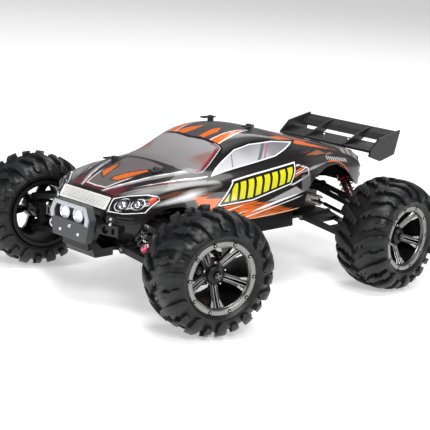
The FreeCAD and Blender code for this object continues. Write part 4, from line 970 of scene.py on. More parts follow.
@dataclass
class Tyre:
    """Chunky cross-country tyre: a smooth carcass under two kinds of block, wrapped over its shoulders."""

    roll_radius: float = 41.0
    blocks: int = 22
    outline: tuple[Point2, ...] = ((0.0, 39.5), (6.0, 39.4), (11.0, 38.8), (15.5, 37.4), (18.9, 35.0),
                                   (20.9, 32.0),
                                   (21.8, 28.9), (21.3, 26.9), (20.2, 25.8))
    inner: tuple[Point2, ...] = ((19.3, 24.9), (16.0, 28.0), (17.0, 32.5), (12.0, 36.0), (0.0, 36.5))
    tongue: tuple[Point2, ...] = ((-1.6, 0.6), (1.9, 1.4), (2.3, 3.3), (0.7, 3.6), (0.8, 4.8), (2.9, 5.1),
                                  (3.2, 7.1), (1.5, 7.4), (1.6, 8.6), (3.6, 9.0), (3.8, 12.0), (4.1, 18.0),
                                  (4.2, 24.0), (0.6, 27.4), (-3.6, 24.2), (-3.5, 18.0), (-2.7, 12.0),
                                  (-2.6, 6.0))
    stepped: tuple[Point2, ...] = ((-1.3, 3.4), (1.6, 4.2), (1.8, 8.6), (3.2, 9.0), (3.2, 13.6), (1.9, 14.0),
                                   (2.0, 17.6), (3.4, 18.0), (3.3, 22.8), (-2.2, 23.4), (-2.4, 18.6),
                                   (-0.9, 18.2),
                                   (-1.0, 13.6), (-2.5, 13.2), (-2.6, 8.6), (-1.2, 8.2))
    end_plate: tuple[Point2, ...] = ((-2.2, 17.0), (2.6, 17.0), (2.8, 22.6), (0.5, 24.8), (-2.4, 22.6))

    def surface(self, reach: float) -> tuple[Vector, Vector]:
        """Point and outward direction of the carcass at a distance from its middle line.

        Args:
            reach: Distance along the section from the crown.

        Returns:
            The point and the direction, as Y and radius.
        """
        gone = 0.0
        for (y0, r0), (y1, r1) in zip(self.outline, self.outline[1:]):
            a, b = Vector((y0, r0)), Vector((y1, r1))
            step = (b - a).length
            if reach <= gone + step or (y1, r1) == self.outline[-1]:
                share = (reach - gone) / step
                run = (b - a) / step
                lean = Vector((0.0, 1.0)).lerp(Vector((1.0, 0.15)), min(max((reach - 8.0) / 13.0, 0.0), 1.0))
                return a.lerp(b, share), (Vector((-run.y, run.x)) + lean * 1.2).normalized()
            gone += step
        raise ValueError(reach)

    def block(self, outline: Sequence[Point2], height: float, sink: float, edge: float) -> Shape:
        """Flat rubber block: X round the tyre, Y from the middle line out and Z off the carcass."""
        made = Shape.prism([(u, t, -sink) for u, t in outline], (0, 0, height + sink))
        rim = [e for e in made.bm.edges if all(v.co.z > 0 for v in e.verts)]
        round_edges(made.bm, rim, edge, 2)
        return made.sliced((4.0, 8.0, 11.0, 14.0, 16.5, 19.0, 21.5, 24.0), (0, 1, 0))

    def wrapped(self, flat: Shape, turn: float, side: int) -> Shape:
        """Bends a flat block on to the tyre.

        Args:
            flat: Block from block().
            turn: Angle round the axle from the top towards the front.
            side: 1 for the outer half, -1 for the inner.

        Returns:
            The bent block.
        """
        made = flat.copy()
        for vert in made.bm.verts:
            u, t, h = vert.co
            sweep = -0.66 * min(t, 13.0) - 0.22 * max(t - 13.0, 0.0)
            spot, out = self.surface(max(t, 0.0))
            swell = 1.0 - 0.35 * max(0.0, (t - 19.0) / 8.0)
            spot = spot + out * (h * swell)
            angle = turn + (u + sweep) / self.roll_radius
            vert.co = (spot.y * math.sin(angle), side * spot.x, spot.y * math.cos(angle))
        return made.outward()

    def shape(self) -> Shape:
        """The whole tyre about the origin."""
        half = list(self.outline) + list(self.inner)
        path = [(r, y) for y, r in half] + [(r, -y) for y, r in reversed(half[1:-1])]
        tyre = Shape.spun(path, steps=88).painted(TyreTone.CARCASS)
        tongue = self.block(self.tongue, 3.4, 0.8, 0.28)
        stepped = self.block(self.stepped, 3.0, 0.8, 0.25)
        plate = self.block(self.end_plate, 3.6, 0.2, 0.35)
        for i in range(self.blocks):
            for side in (1, -1):
                turn = TURN * (i + (0.0 if side > 0 else 0.5)) / self.blocks
                if i % 2 == 0:
                    tyre.joined(self.wrapped(tongue, turn, side), self.wrapped(plate, turn, side))
                else:
                    tyre.joined(self.wrapped(stepped, turn, side))
        return tyre


class RimTone(IntEnum):
    """Material numbers on the rim."""

    RING = 0
    DARK = 1
    # bright chrome where the bars' edges and tips catch light: painted highlight
    BRIGHT = 2
    BLACK = 3
    SCREW = 4
    STEEL = 5
    RECESS = 6


@dataclass
class Rim:
    """Deep wheel: satin bead ring with ten screws, five pairs of bars and a domed cap with a cross nut."""

    ring_out: float = 25.5
    ring_in: float = 21.5
    face: float = 19.4
    bar: tuple[Point2, ...] = ((5.6, 0.75), (14.0, 1.0), (21.9, 1.5), (22.6, 5.0), (20.2, 4.6), (17.2, 3.4),
                               (12.0, 3.0), (6.4, 2.8))
    flare: tuple[Point2, ...] = ((16.2, 3.1), (17.4, 2.3), (21.8, 3.2), (22.3, 5.2), (20.0, 4.7),
                                 (17.4, 3.55))

    def bar_front(self, radius: float) -> float:
        """Height of a bar's front face along the axle."""
        return 8.2 + 8.3 * max(0.0, (radius - 6.0) / 16.0) ** 1.25

    def dished(self, outline: Sequence[Point2], lift: float, depth: float, edge: float) -> Shape:
        """A bar or facet lying on the dished face of the wheel."""
        made = Shape.prism([(r, 0.0, w) for r, w in outline], (0, -depth, 0)).bevelled(edge, 1, 50.0)
        made.sliced((9.0, 12.0, 15.0, 18.0), (1, 0, 0))
        for vert in made.bm.verts:
            vert.co.y += self.bar_front(vert.co.x) + lift
        return made.outward()

    def shape(self) -> Shape:
        """The whole rim about the origin, +Y outward."""
        face, out, inn = self.face, self.ring_out, self.ring_in
        barrel = Shape.spun([(23.0, -22), (25.4, -22), (25.4, -20.8), (24.4, -20.2), (24.4, face - 3.4),
                             (23.2, face - 3.6), (22.6, 8.0), (21.2, 0.0), (20.6, -12.0),
                             (22.0, -21)]).painted(RimTone.BLACK)
        ring = Shape.spun([(inn, face - 0.5), (inn + 0.5, face), (out - 0.9, face), (out, face - 0.8),
                           (out, face - 2.6), (24.4, face - 3.6), (22.6, face - 3.6), (inn, face - 2.6)],
                          steps=96).painted(RimTone.RING)
        lip = Shape.spun([(20.7, face - 2.6), (21.1, face - 2.0), (22.3, face - 2.0), (22.3, face - 3.2),
                          (20.7, face - 3.4)], steps=96).painted(RimTone.DARK)
        # painted shade: a dark band at the groove on the ring's outer edge
        groove = Shape.spun([(out - 0.1, face - 1.4), (out + 0.55, face - 1.4), (out + 0.55, face - 2.6),
                             (out - 0.1, face - 2.6)], steps=96).painted(RimTone.RECESS)
        rim = barrel.joined(ring, lip, groove)
        middle = (out + inn) / 2
        for i in range(10):
            turn = Matrix.Rotation(TURN * i / 10, 4, "Y")
            # painted shade: a dark ring round each screw
            washer = Shape.rod((middle, face - 0.5, 0), (middle, face + 0.14, 0), 1.3,
                               sides=20).painted(RimTone.RECESS)
            screw = Shape.rod((middle, face, 0), (middle, face + 0.42, 0), 0.66, 0.5,
                              6).painted(RimTone.SCREW)
            rim.joined(washer.moved(turn), screw.moved(turn))
        for i in range(5):
            turn = Matrix.Rotation(TURN / 4 + TURN * i / 5, 4, "Y")
            for side in (1, -1):
                flip = turn @ Matrix.Diagonal((1, 1, side, 1))
                bar = self.dished(self.bar, 0.0, 3.6, 0.3).painted(RimTone.DARK)
                # bright chrome strips along the bars and on their flared tips: painted highlights on the dark
                # chrome
                edge = self.dished([(6.2, 0.55), (21.6, 1.0), (21.6, 1.45), (6.2, 1.0)], 0.35, 1.2,
                                   0.1).painted(RimTone.BRIGHT)
                facet = self.dished(self.flare, 0.25, 1.0, 0.15).painted(RimTone.BRIGHT)
                rim.joined(bar.moved(flip), edge.moved(flip), facet.moved(flip))
            # painted shade: a dark sheet in the slot between the two bars of a pair
            web = self.dished([(5.8, -0.9), (21.0, -1.2), (21.0, 1.2), (5.8, 0.9)], -2.4, 1.4,
                              0.1).painted(RimTone.RECESS)
            rim.joined(web.moved(turn))
            crescent = Matrix.Rotation(TURN / 4 + TURN * (i + 0.5) / 5, 4, "Y")
            rim.joined(self.crescent().painted(RimTone.RING).moved(crescent))
            bolt = Shape.rod((8.1, 6.5, 0), (8.1, 8.8, 0), 0.75, 0.6, 6).painted(RimTone.SCREW)
            rim.joined(bolt.moved(crescent))
        hub = Shape.spun([(0, -3), (7.2, -3), (8.8, 4.0), (8.8, 7.0), (7.4, 8.4), (0, 8.4)], closed=False,
                         steps=48).painted(RimTone.DARK)
        cap = Shape.spun([(0, 7), (6.6, 7), (6.9, 9.6), (6.2, 11.2), (4.6, 12.2), (2.4, 12.6), (0, 12.7)],
                         closed=False, steps=40).painted(RimTone.BLACK)
        rim.joined(hub, cap, self.nut(), self.axle())
        return rim

    def axle(self) -> Shape:
        """Drive hex, axle and slotted drive cup behind the wheel."""
        made = Shape.rod((0, -5.5, 0), (0, -2.5, 0), 6.0, sides=6).bevelled(0.3, 2).painted(RimTone.SCREW)
        made.joined(Shape.rod((0, -8.9, 0), (0, 4.0, 0), 2.0, sides=20).painted(RimTone.STEEL))
        made.joined(Shape.rod((0, -9.8, 0), (0, -8.8, 0), 4.8, sides=32).bevelled(0.25,
                                                                                  2).painted(RimTone.STEEL))
        for half in (0, 180):
            arc = [math.radians(half + a) for a in range(24, 157, 12)]
            wall = ([(4.8 * math.cos(a), -16.2, 4.8 * math.sin(a)) for a in arc] +
                    [(3.6 * math.cos(a), -16.2, 3.6 * math.sin(a)) for a in reversed(arc)])
            made.joined(Shape.prism(wall, (0, 7.0, 0)).bevelled(0.2, 1, 50.0).painted(RimTone.STEEL))
        return made

    def crescent(self) -> Shape:
        """Raised lip on the ring's inner edge between two pairs of bars."""
        arc = [math.radians(a) for a in range(-17, 18, 2)]
        outer = [(22.5 * math.cos(a), self.face - 1.2, 22.5 * math.sin(a)) for a in arc]
        inner = [((21.5 - 0.9 * math.cos(a * 5.2)) * math.cos(a), self.face - 1.2,
                  (21.5 - 0.9 * math.cos(a * 5.2)) * math.sin(a)) for a in reversed(arc)]
        return Shape.prism(outer + inner, (0, -0.9, 0)).bevelled(0.15, 1, 50.0)

    def nut(self) -> Shape:
        """Cross-slotted wheel nut on the cap."""
        made = Shape.rod((0, 12.0, 0), (0, 14.2, 0), 3.4, 3.0, 24).bevelled(0.4, 2).painted(RimTone.BLACK)
        for turn in (0.35, 0.35 + TURN / 4):
            arm = Shape.box((-2.5, 13.6, -0.55), (2.5, 14.7, 0.55)).bevelled(0.2, 1).painted(RimTone.DARK)
            made.joined(arm.moved(Matrix.Rotation(turn, 4, "Y")))
        return made


@dataclass
class Wheels:
    """The four wheels."""

    tyre: Tyre = field(default_factory=Tyre)
    rim: Rim = field(default_factory=Rim)

    def build(self, bench: Bench) -> None:
        """Places a tyre and a rim at each corner."""
        tyre, rim = self.tyre.shape(), self.rim.shape()
        for code in WHEEL_CODES:
            corner = Corner.named(code)
            rubber = Rubber("tyre_rubber_" + code, (0.0075, 0.0078, 0.0085), 0.36, mottle=0.2,
                            centre=corner.centre,
                            steer=corner.steer, gloss=0.32)
            satin = BrushedMetal("satin_ring_" + code, (0.235, 0.235, 0.228), 0.36, 0.85,
                                 centre=corner.centre,
                                 steer=corner.steer)
            groove = replace(rubber, name="tyre_carcass_" + code, colour=(0.0048, 0.005, 0.0055),
                             tread_tone=(0.004, 0.004, 0.0045))
            tones = {TyreTone.BLOCK: rubber, TyreTone.CARCASS: groove}
            tread = [tones[tone] for tone in TyreTone]
            metals = {RimTone.RING: satin, RimTone.DARK: DARK_CHROME, RimTone.BRIGHT: BRIGHT_CHROME,
                      RimTone.BLACK: BARREL_BLACK, RimTone.SCREW: SATIN_STEEL, RimTone.STEEL: DARK_STEEL,
                      RimTone.RECESS: PAINTED_SHADE_BLACK}
            bench.place(tyre.copy().moved(corner.matrix()), "tyre_block_" + code, tread, "wheel_" + code,
                        Slot.RUBBER, ["tyre_" + code], 28.0)
            bench.place(rim.copy().moved(corner.matrix()), "wheel_rim_" + code,
                        [metals[tone] for tone in RimTone],
                        "wheel_" + code, Slot.RIM, ["rim_" + code], 32.0)


# ---- dampers -------------------------------------------------------------------------------------
@dataclass
class Damper:
    """Coil spring and its collars over one damper."""

    code: str
    turns: float = 6.5
    coil_radius: float = 4.9
    wire: float = 0.72
    seat_top: float = 7.5
    seat_low: float = 6.5
    collar_radius: float = 5.3
    front_length: float = 38.35
    rear_length: float = 40.92
    front_keep: float = 0.816
    rear_keep: float = 0.775

    @property
    def front(self) -> bool:
        """Whether it is one of the front pair."""
        return self.code[0] == "f"

    def line(self) -> tuple[Vector, Vector]:
        """Upper eye and lower eye of the damper."""
        joints = {j["name"]: j for j in frame["joints"]}
        top = to_millimetres(joints["shock_tilt_" + self.code]["pos_m"])
        along = -Vector(joints["shock_stroke_" + self.code]["axis"]).normalized()
        length = self.front_length if self.front else self.rear_length
        return top, top + along * length

    def build(self, bench: Bench) -> None:
        """Places the spring and the caps."""
        top, low = self.line()
        along = (low - top).normalized()
        start, end = top + along * self.seat_top, low - along * self.seat_low
        span = (end - start).length
        turn = along.to_track_quat("Z", "Y").to_matrix().to_4x4()
        front, wide = self.front, self.collar_radius
        rise = (span - 2 * self.wire) / self.turns
        spring = Shape.coil(self.coil_radius, self.wire, self.turns, rise)
        spring.moved(Matrix.Translation(start + along * self.wire) @ turn)
        body = "shock_body_" + self.code
        piece = bench.place(spring, "spring_" + self.code, [SPRING_BLACK if front else SPRING_PINK], body,
                            Slot.SHOCK_BLACK if front else Slot.SHOCK_RED, (), 60.0)
        anchor = TO_FRAME @ start
        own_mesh(piece)
        collar = Shape.rod(tuple(top + along * 5.2), tuple(top + along * 7.6), wide, wide, 28).bevelled(0.35,
                                                                                                        2)
        bench.place(collar, "spring_collar_" + self.code, [DARK_STEEL if front else CRIMSON_ANODISED], body,
                    Slot.SHOCK_BLACK)
        cup = Shape.rod(tuple(low - along * 6.4), tuple(low - along * 3.0), wide, 4.2, 28).bevelled(0.5, 2)
        bench.place(cup, "spring_cup_" + self.code, [CRIMSON_ANODISED], "shock_rod_" + self.code,
                    Slot.SHOCK_RED)


# ---- body ----------------------------------------------------------------------------------------
@dataclass
class BodyShell:
    """Thin printed body: smooth skin over cross sections, with its arches, lamps and grille."""

    skin: float = 1.1
    sections: tuple[tuple[float, tuple[Point2, ...]], ...] = (
        (119.0, ((0, 80.9), (12, 80.5), (20, 79.6), (25.6, 78.6), (33.5, 74.0), (38.5, 67.5), (40, 57))),
        (111.5, ((0, 83.8), (12, 83.4), (22, 82.1), (33, 80.4), (41.5, 78.0), (45.5, 69.5), (46.5, 57))),
        (104.0, ((0, 86.8), (12, 86.4), (23.5, 84.9), (37, 82.6), (47.5, 80.6), (49.8, 70.5), (50, 57))),
        (79.0, ((0, 94.4), (12, 94.0), (23.5, 92.3), (36, 89.4), (49.5, 86.0), (54.4, 77.0), (56, 64))),
        (62.0, ((0, 96.4), (13, 95.9), (27, 93.8), (38, 91.2), (51, 86.0), (56, 77), (59, 62))),
        (54.0, ((0, 97.2), (14, 96.6), (29, 94.3), (42.0, 90.9), (53, 86.0), (57, 76), (60, 60))),
        (25.0, ((0, 111.9), (15, 111.5), (28.8, 109.1), (44.5, 92.5), (55, 86.0), (60.3, 74), (62, 60))),
        (3.0, ((0, 118.4), (16, 117.6), (30.0, 114.2), (46, 95.5), (57, 87.0), (60.8, 74), (62, 60))),
        (-18.0, ((0, 117.7), (16, 117.0), (31.3, 113.2), (46.5, 98.5), (58.5, 88.5), (60.8, 75), (62, 60.5))),
        (-40.0, ((0, 113.3), (17, 112.7), (34.0, 109.6), (46, 102.0), (59, 90.0), (60.8, 76), (61.5, 62))),
        (-62.0, ((0, 108.3), (18, 107.8), (36.4, 105.2), (48, 98.5), (56, 92.5), (57.2, 82), (57, 70))),
        (-84.0, ((0, 104.1), (19, 103.7), (38.4, 101.6), (48.5, 96.5), (55.5, 91.5), (56.6, 80), (56, 70))),
        (-106.0, ((0, 99.7), (20, 99.3), (39.4, 97.9), (48, 93.5), (54, 87.4), (54.6, 78), (54, 69))),
        (-121.0, ((0, 96.4), (20, 96.2), (38.4, 95.0), (46.4, 91.0), (49.8, 84.0), (50.3, 77), (50, 69))),
    )
    creases: tuple[float, ...] = (0.0, 0.0, 0.55, 0.65, 0.35, 0.0)
    front_arch: tuple[Point2, ...] = ((115, 40), (115, 57), (108, 66), (101, 71.5), (92, 74), (82, 74),
                                      (74, 71.6),
                                      (64, 66), (54, 60), (46, 52), (46, 40))
    rear_arch: tuple[Point2, ...] = ((-44, 40), (-44, 75), (-54, 83), (-68, 89), (-82, 90), (-98, 83),
                                     (-112, 70),
                                     (-130, 69), (-130, 40))
    sill: tuple[Point2, ...] = ((56, 40), (54, 60), (-37, 60), (-41, 68), (-45, 76), (-45, 40))

    def loop(self, shape: Shape, x: float, half: Sequence[Point2]) -> list[bmesh.types.BMVert]:
        """Vertices across the body at one section, from left sill to right sill."""
        left = [(x, y, z) for y, z in reversed(half)]
        right = [(x, -y, z) for y, z in half[1:]]
        return [shape.bm.verts.new(p) for p in left + right]

    def outer(self) -> Shape:
        """Open outer skin, from nose to tail."""
        shape = Shape()
        bm = shape.bm
        nose = ((120.9, 0, 79.4), (120.9, 11, 79.3), (120.8, 20, 79.0), (120.4, 25.0, 78.4),
                (124.0, 25.6, 74.0),
                (126.4, 25.6, 69.8), (127.0, 25.6, 57.0))
        row = [bm.verts.new(p) for p in reversed(nose)] + [bm.verts.new((x, -y, z)) for x, y, z in nose[1:]]
        rows = [row] + [self.loop(shape, x, half) for x, half in self.sections]
        for row in rows:
            for a, b in zip(row, row[1:]):
                bm.edges.new((a, b))
        crease = bm.edges.layers.float.new("crease_edge")
        for fore, back in zip(rows, rows[1:]):
            loops = [bm.edges.get(pair) for r in (fore, back) for pair in zip(r, r[1:])]
            bmesh.ops.bridge_loops(bm, edges=loops)
            for i, (a, b) in enumerate(zip(fore, back)):
                weight = self.creases[min(abs(i - 6), 5)]
                edge = bm.edges.get((a, b))
                if edge is not None and weight:
                    edge[crease] = weight
        tail = rows[-1]
        bm.faces.new(tail)
        for a, b in zip(tail, tail[1:]):
            bm.edges.get((a, b))[crease] = 0.7
        self.close_nose(shape, rows[0], crease)
        for a, b in zip(rows[6][3:10], rows[6][4:10]):
            bm.edges.get((a, b))[crease] = 0.6
        for edge in bm.edges:
            if edge.is_boundary:
                edge[crease] = 1.0
        return shape.outward()

    def close_nose(self, shape: Shape, row: list[bmesh.types.BMVert], crease: Any) -> None:
        """Sloping face for the grille, drawn down from the bonnet's front edge.

        Args:
            shape: The skin.
            row: The nose's vertices from left sill to right sill.
            crease: Edge layer of the crease weights.
        """
        bm = shape.bm
        top = row[3:10]
        middle = [row[2]] + [bm.verts.new((123.9, v.co.y, 74.2)) for v in top[1:-1]] + [row[10]]
        low = [row[1]] + [bm.verts.new((126.6, v.co.y, 69.8)) for v in top[1:-1]] + [row[11]]
        for upper, lower in ((top, middle), (middle, low)):
            for i in range(len(upper) - 1):
                bm.faces.new((upper[i], upper[i + 1], lower[i + 1], lower[i]))
        for line in (top, low, row[1:4], row[9:12]):
            for a, b in zip(line, line[1:]):
                bm.edges.get((a, b))[crease] = 0.9

    def cutter(self, outline: Sequence[Point2], low: float, high: float, rounding: float = 0.0) -> Shape:
        """Block over a side view outline between two distances from the middle."""
        made = Shape.prism([(x, low, z) for x, z in outline], (0, high - low, 0))
        if rounding:
            long_edges = [e for e in made.bm.edges if abs((e.verts[0].co - e.verts[1].co).y) > 1]
            round_edges(made.bm, long_edges, rounding, 3)
        return made.outward()

    def cut(self, piece: bpy.types.Object, cutters: Sequence[Shape]) -> None:
        """Takes blocks out of a piece for good."""
        for cutter in cutters:
            tool = linked("cutter", cutter.in_frame("cutter"))
            step = piece.modifiers.new("cut", "BOOLEAN")
            step.operation, step.solver, step.object = "DIFFERENCE", "EXACT", tool
            self.bake(piece)
            bpy.data.objects.remove(tool)

    def bake(self, piece: bpy.types.Object) -> None:
        """Applies a piece's modifiers to its mesh."""
        graph = bpy.context.evaluated_depsgraph_get()
        mesh = bpy.data.meshes.new_from_object(piece.evaluated_get(graph), depsgraph=graph)
        piece.modifiers.clear()
        piece.data = mesh

    def build(self, bench: Bench) -> None:
        """Places the skin and its fittings."""
        piece = linked("body_skin", self.outer().in_frame("body_skin"))
        smooth = piece.modifiers.new("smooth", "SUBSURF")
        smooth.levels = smooth.render_levels = 2
        self.bake(piece)
        finder = bmesh.new()
        finder.from_mesh(piece.data)
        surface = BVHTree.FromBMesh(finder)
        wall = piece.modifiers.new("wall", "SOLIDIFY")
        wall.thickness, wall.offset = self.skin * MM, -1.0
        wall.material_offset = wall.material_offset_rim = 1
        piece.data.materials.append(FILM.material())
        piece.data.materials.append(SHELL_LINING.material())
        self.bake(piece)
        cutters = [self.cutter(self.sill, -80, 80), Shape.box((-140, -42.5, 40), (-44, 42.5, 69)),
                   Shape.box((119, -25.2, 40), (140, 25.2, 69.4)), Shape.box((100, -80, 40), (140, 80, 57)),
                   Shape.box((-130, -16, 40), (-117, 16, 90))]
        for outline in (self.front_arch, self.rear_arch):
            cutters += [self.cutter(outline, 36, 80, 3.0), self.cutter(outline, -80, -36, 3.0)]
        self.cut(piece, cutters)
        shell = piece.data
        bpy.data.objects.remove(piece)
        bench.hang(shell, "printed_body", [FILM, SHELL_LINING], "chassis", ["body_shell"], 30.0)
        self.fit_lamps(bench, surface)
        self.fit_valance(bench, surface)
        self.fit_grille(bench)
        finder.free()

    def on_skin(self, surface: BVHTree, y: float, z: float) -> tuple[Vector, Vector]:
        """Where the nose is at a distance across and a height, with its outward direction there."""
        spot, normal, *_ = surface.ray_cast(TO_FRAME @ Vector((AHEAD_OF_NOSE, y, z)), Vector((-1, 0, 0)))
        if spot is None:
            raise ValueError(f"no skin at {y}, {z}")
        out = normal.normalized()
        return to_millimetres(spot), out if out.x > 0 else -out

    def fit_lamps(self, bench: Bench, surface: BVHTree) -> None:
        """Two domed lenses with dark bezels on each side of the nose."""
        glass, bezel = Shape(), Shape()
        for side in (1, -1):
            for middle, height, radius in HEADLAMPS:
                spot, out = self.on_skin(surface, side * middle, height)
                turn = Matrix.Translation(spot) @ out.to_track_quat("Y", "Z").to_matrix().to_4x4()
                dome = Shape.spun([(0, -0.5), (radius, -0.5), (radius, 0.2), (radius * 0.8, 0.75),
                                   (radius * 0.45, 1.1), (0, 1.2)], closed=False, steps=32)
                ring = Shape.spun([(radius, -0.4), (radius + 0.6, -0.4), (radius + 0.6, 0.45), (radius, 0.6)],
                                  steps=32)
                glass.joined(dome.moved(turn))
                bezel.joined(ring.moved(turn))
        bench.place(glass, "headlamp_lenses", [LAMP_GLASS], "chassis", Slot.LAMP, (), 50.0)
        bench.place(bezel, "headlamp_bezels", [BLACK_PLASTIC], "chassis", Slot.BLACK_PLASTIC)

    def fit_valance(self, bench: Bench, surface: BVHTree) -> None:
        """Louvres and a screw on the skirt below each headlamp."""
        ribs, screws = Shape(), Shape()
        for side in (1, -1):
            for z, near, far in ((66.6, 31.5, 41.0), (64.2, 31.5, 42.0), (61.8, 31.5, 42.6),
                                 (59.2, 30.0, 43.0)):
                ends = [self.on_skin(surface, side * y, z)[0] for y in (near, far)]
                ribs.joined(Shape.rod(tuple(ends[0]), tuple(ends[1]), 0.62, sides=10))
            spot, out = self.on_skin(surface, side * 28.6, 65.2)
            screws.joined(Shape.rod(tuple(spot - out * 0.5), tuple(spot + out * 0.8), 1.25, 1.0,
                                    20).bevelled(0.2, 2))
        bench.place(ribs, "skirt_louvres", [BLACK_PLASTIC], "chassis", Slot.BLACK_PLASTIC)
        bench.place(screws, "skirt_screws", [SATIN_STEEL], "chassis", Slot.STEEL)

    def fit_grille(self, bench: Bench) -> None:
        """Silver mesh grille on the sloping nose: a frame, seven slats and their uprights."""
        low, high = Vector((126.75, 0, 70.6)), Vector((121.75, 0, 78.6))
        up = (high - low).normalized()
        out = Vector((up.z, 0, -up.x))
        base = Matrix(((out.x, 0, up.x, low.x), (out.y, 1, up.y, low.y), (out.z, 0, up.z, low.z),
                       (0, 0, 0, 1)))
        tall = (high - low).length
        half, rim, rows, backing = 24.3, 0.75, 7, 1
        made = Shape.box((-0.6, -half, 0), (0.12, half, tall)).painted(backing)
        for y0, y1, z0, z1 in ((-half, half, 0, rim), (-half, half, tall - rim, tall),
                               (-half, -half + rim, 0, tall),
                               (half - rim, half, 0, tall)):
            made.joined(Shape.box((-0.4, y0, z0), (0.75, y1, z1)).bevelled(0.15, 1))
        for i in range(rows):
            z = rim + (tall - 2 * rim) * (i + 0.5) / rows
            made.joined(Shape.box((-0.3, -24, z - 0.37), (0.5, 24, z + 0.37)).bevelled(0.12, 1))
        for i in range(-11, 12):
            made.joined(Shape.box((-0.3, i * 2.05 - 0.2, 0.3), (0.38, i * 2.05 + 0.2, tall - 0.3)))
        bench.place(made.moved(base), "nose_grille", [SILVER_MESH, MESH_BACK], "chassis", Slot.GREY_PLASTIC)


# ---- front end -----------------------------------------------------------------------------------
@dataclass
class LightPanel:
    """Lamp panel on the bumper: pale trim round the recess, reflectors, glowing lamps and screws."""

    face: float = 137.0

    def build(self, bench: Bench) -> None:
        """Places the panel's trim and lamps."""
        def strip(side: int) -> Shape:
            """Trim down one side of the recess."""
            outline = [(self.face - 0.4, side * y, z) for y, z in
                       ((14.0, 69.0), (16.6, 71.6), (20.3, 63.0), (19.3, 58.6), (16.3, 59.2), (16.7, 64.0))]
            return Shape.prism(outline, (1.4, 0, 0)).bevelled(0.25, 2)

        top = Shape.prism([(self.face - 0.4, y, z) for y, z in
                           ((-16.6, 71.7), (16.6, 71.7), (13.8, 68.9), (-13.8, 68.9))],
                           (1.4, 0, 0)).bevelled(0.25, 2)
        bench.place(both_sides(strip).joined(top), "lamp_panel_trim", [PALE_TRIM], "chassis",
                    Slot.GREY_PLASTIC)

        def pair(profile: Sequence[Point2], x: float, closed: bool) -> Shape:
            """The same turned shape at both lamps, facing forward."""
            def one(side: int) -> Shape:
                """The shape on one side."""
                made = Shape.spun(profile, closed, 32).moved(Matrix.Rotation(-TURN / 4, 4, "Z"))
                return made.at(x, side * PANEL_LAMP_OUT, PANEL_LAMP_HEIGHT)
            return both_sides(one)

        cups = pair([(3.5, 0.2), (4.0, 0.2), (5.3, 2.6), (4.9, 2.7), (3.6, 0.8)], 133.2, True)
        bench.place(cups, "lamp_reflectors", [BRIGHT_CHROME], "chassis", Slot.LAMP, (), 50.0)
        lenses = pair([(0, -1.0), (3.6, -1.0), (3.6, 0.9), (3.0, 2.0), (1.8, 2.6), (0, 2.8)], 133.6, False)
        bench.place(lenses, "lamp_lenses", [LED], "chassis", Slot.LAMP, ["light_lenses"], 50.0)
        screws = Shape()
        for y, z in ((9.5, 51.5), (-9.5, 51.5), (0.0, 55.5)):
            screws.joined(Shape.rod((136.4, y, z), (137.5, y, z), 1.5, 1.2, 20).bevelled(0.2, 2))
        bench.place(screws, "lamp_panel_screws", [SATIN_STEEL], "chassis", Slot.STEEL)


@dataclass
class Fasteners:
    """Screw heads on the bumper, arms and wing."""

    spots: tuple[tuple[Point3, Point3, float], ...] = (
        ((129.9, 33.8, 63.2), (0.9, 0.35, 0), 1.2), ((129.9, -33.8, 63.2), (0.9, -0.35, 0), 1.2),
        ((-149.0, 13.0, 97.2), (-0.1, 0, 1), 1.5), ((-149.0, -13.0, 97.2), (-0.1, 0, 1), 1.5),
        ((120.0, 9.0, 37.6), (0, 0, -1), 1.6), ((120.0, -9.0, 37.6), (0, 0, -1), 1.6),
    )

    def build(self, bench: Bench) -> None:
        """Places the screw heads."""
        heads = Shape()
        for spot, out, radius in self.spots:
            away = Vector(out).normalized()
            start = Vector(spot) - away * 0.8
            heads.joined(Shape.rod(tuple(start), tuple(Vector(spot) + away * 0.7), radius, radius * 0.8,
                                   20).bevelled(0.2, 2))
        bench.place(heads, "screw_heads", [SATIN_STEEL], "chassis", Slot.STEEL)


# ---- frame nodes ---------------------------------------------------------------------------------
@dataclass
class RunningGear:
    """Frame nodes that show as they are or with rounded edges."""

    rounded: tuple[tuple[str, Finish, Slot, float], ...] = (
        ("front_bumper", BLACK_PLASTIC, Slot.BLACK_PLASTIC, 0.35),
        ("light_housing", GREY_PLASTIC, Slot.GREY_PLASTIC, 0.4),
        ("rear_wing", WING_PLASTIC, Slot.BLACK_PLASTIC, 0.22),
        ("front_shock_tower", BLACK_PLASTIC, Slot.BLACK_PLASTIC, 0.25),
        ("rear_shock_tower", BLACK_PLASTIC, Slot.BLACK_PLASTIC, 0.25),
        ("chassis_tub", BLACK_PLASTIC, Slot.BLACK_PLASTIC, 0.25),
        ("front_gearbox_case", BLACK_PLASTIC, Slot.BLACK_PLASTIC, 0.25),
        ("rear_gearbox_case", BLACK_PLASTIC, Slot.BLACK_PLASTIC, 0.25),
    )
    plain: tuple[tuple[tuple[str, ...], Finish], ...] = (
        (("drive_shaft", "center_shaft", "body_clips"), DARK_STEEL), (("hinge_pins",), SATIN_STEEL),
        (("motor_pinion",), BRASS), (("motor",), MOTOR_CAN), (("battery",), BATTERY_WRAP),
        (("front_diff", "rear_diff"), GEAR_PLASTIC), (("power_switch",), CRIMSON_ANODISED),
        (("shock_body",), SPRING_BLACK), (("shock_rod",), SATIN_STEEL),
    )

    def build(self, bench: Bench) -> None:
        """Rounds the moulded parts and gives the rest their finishes, black plastic where none is listed."""
        for node, finish, slot, width in self.rounded:
            bench.soften(node, finish, width)
        for code in WHEEL_CODES:
            for part in ("lower_arm_", "upper_arm_"):
                bench.soften(part + code, BLACK_PLASTIC, 0.3)
        for name, node in frame["nodes"].items():
            finish = next((f for starts, f in self.plain if name.startswith(starts)), BLACK_PLASTIC)
            if not node.material_slots:
                node.data.materials.append(finish.material())
            for place in node.material_slots:
                place.material = finish.material()


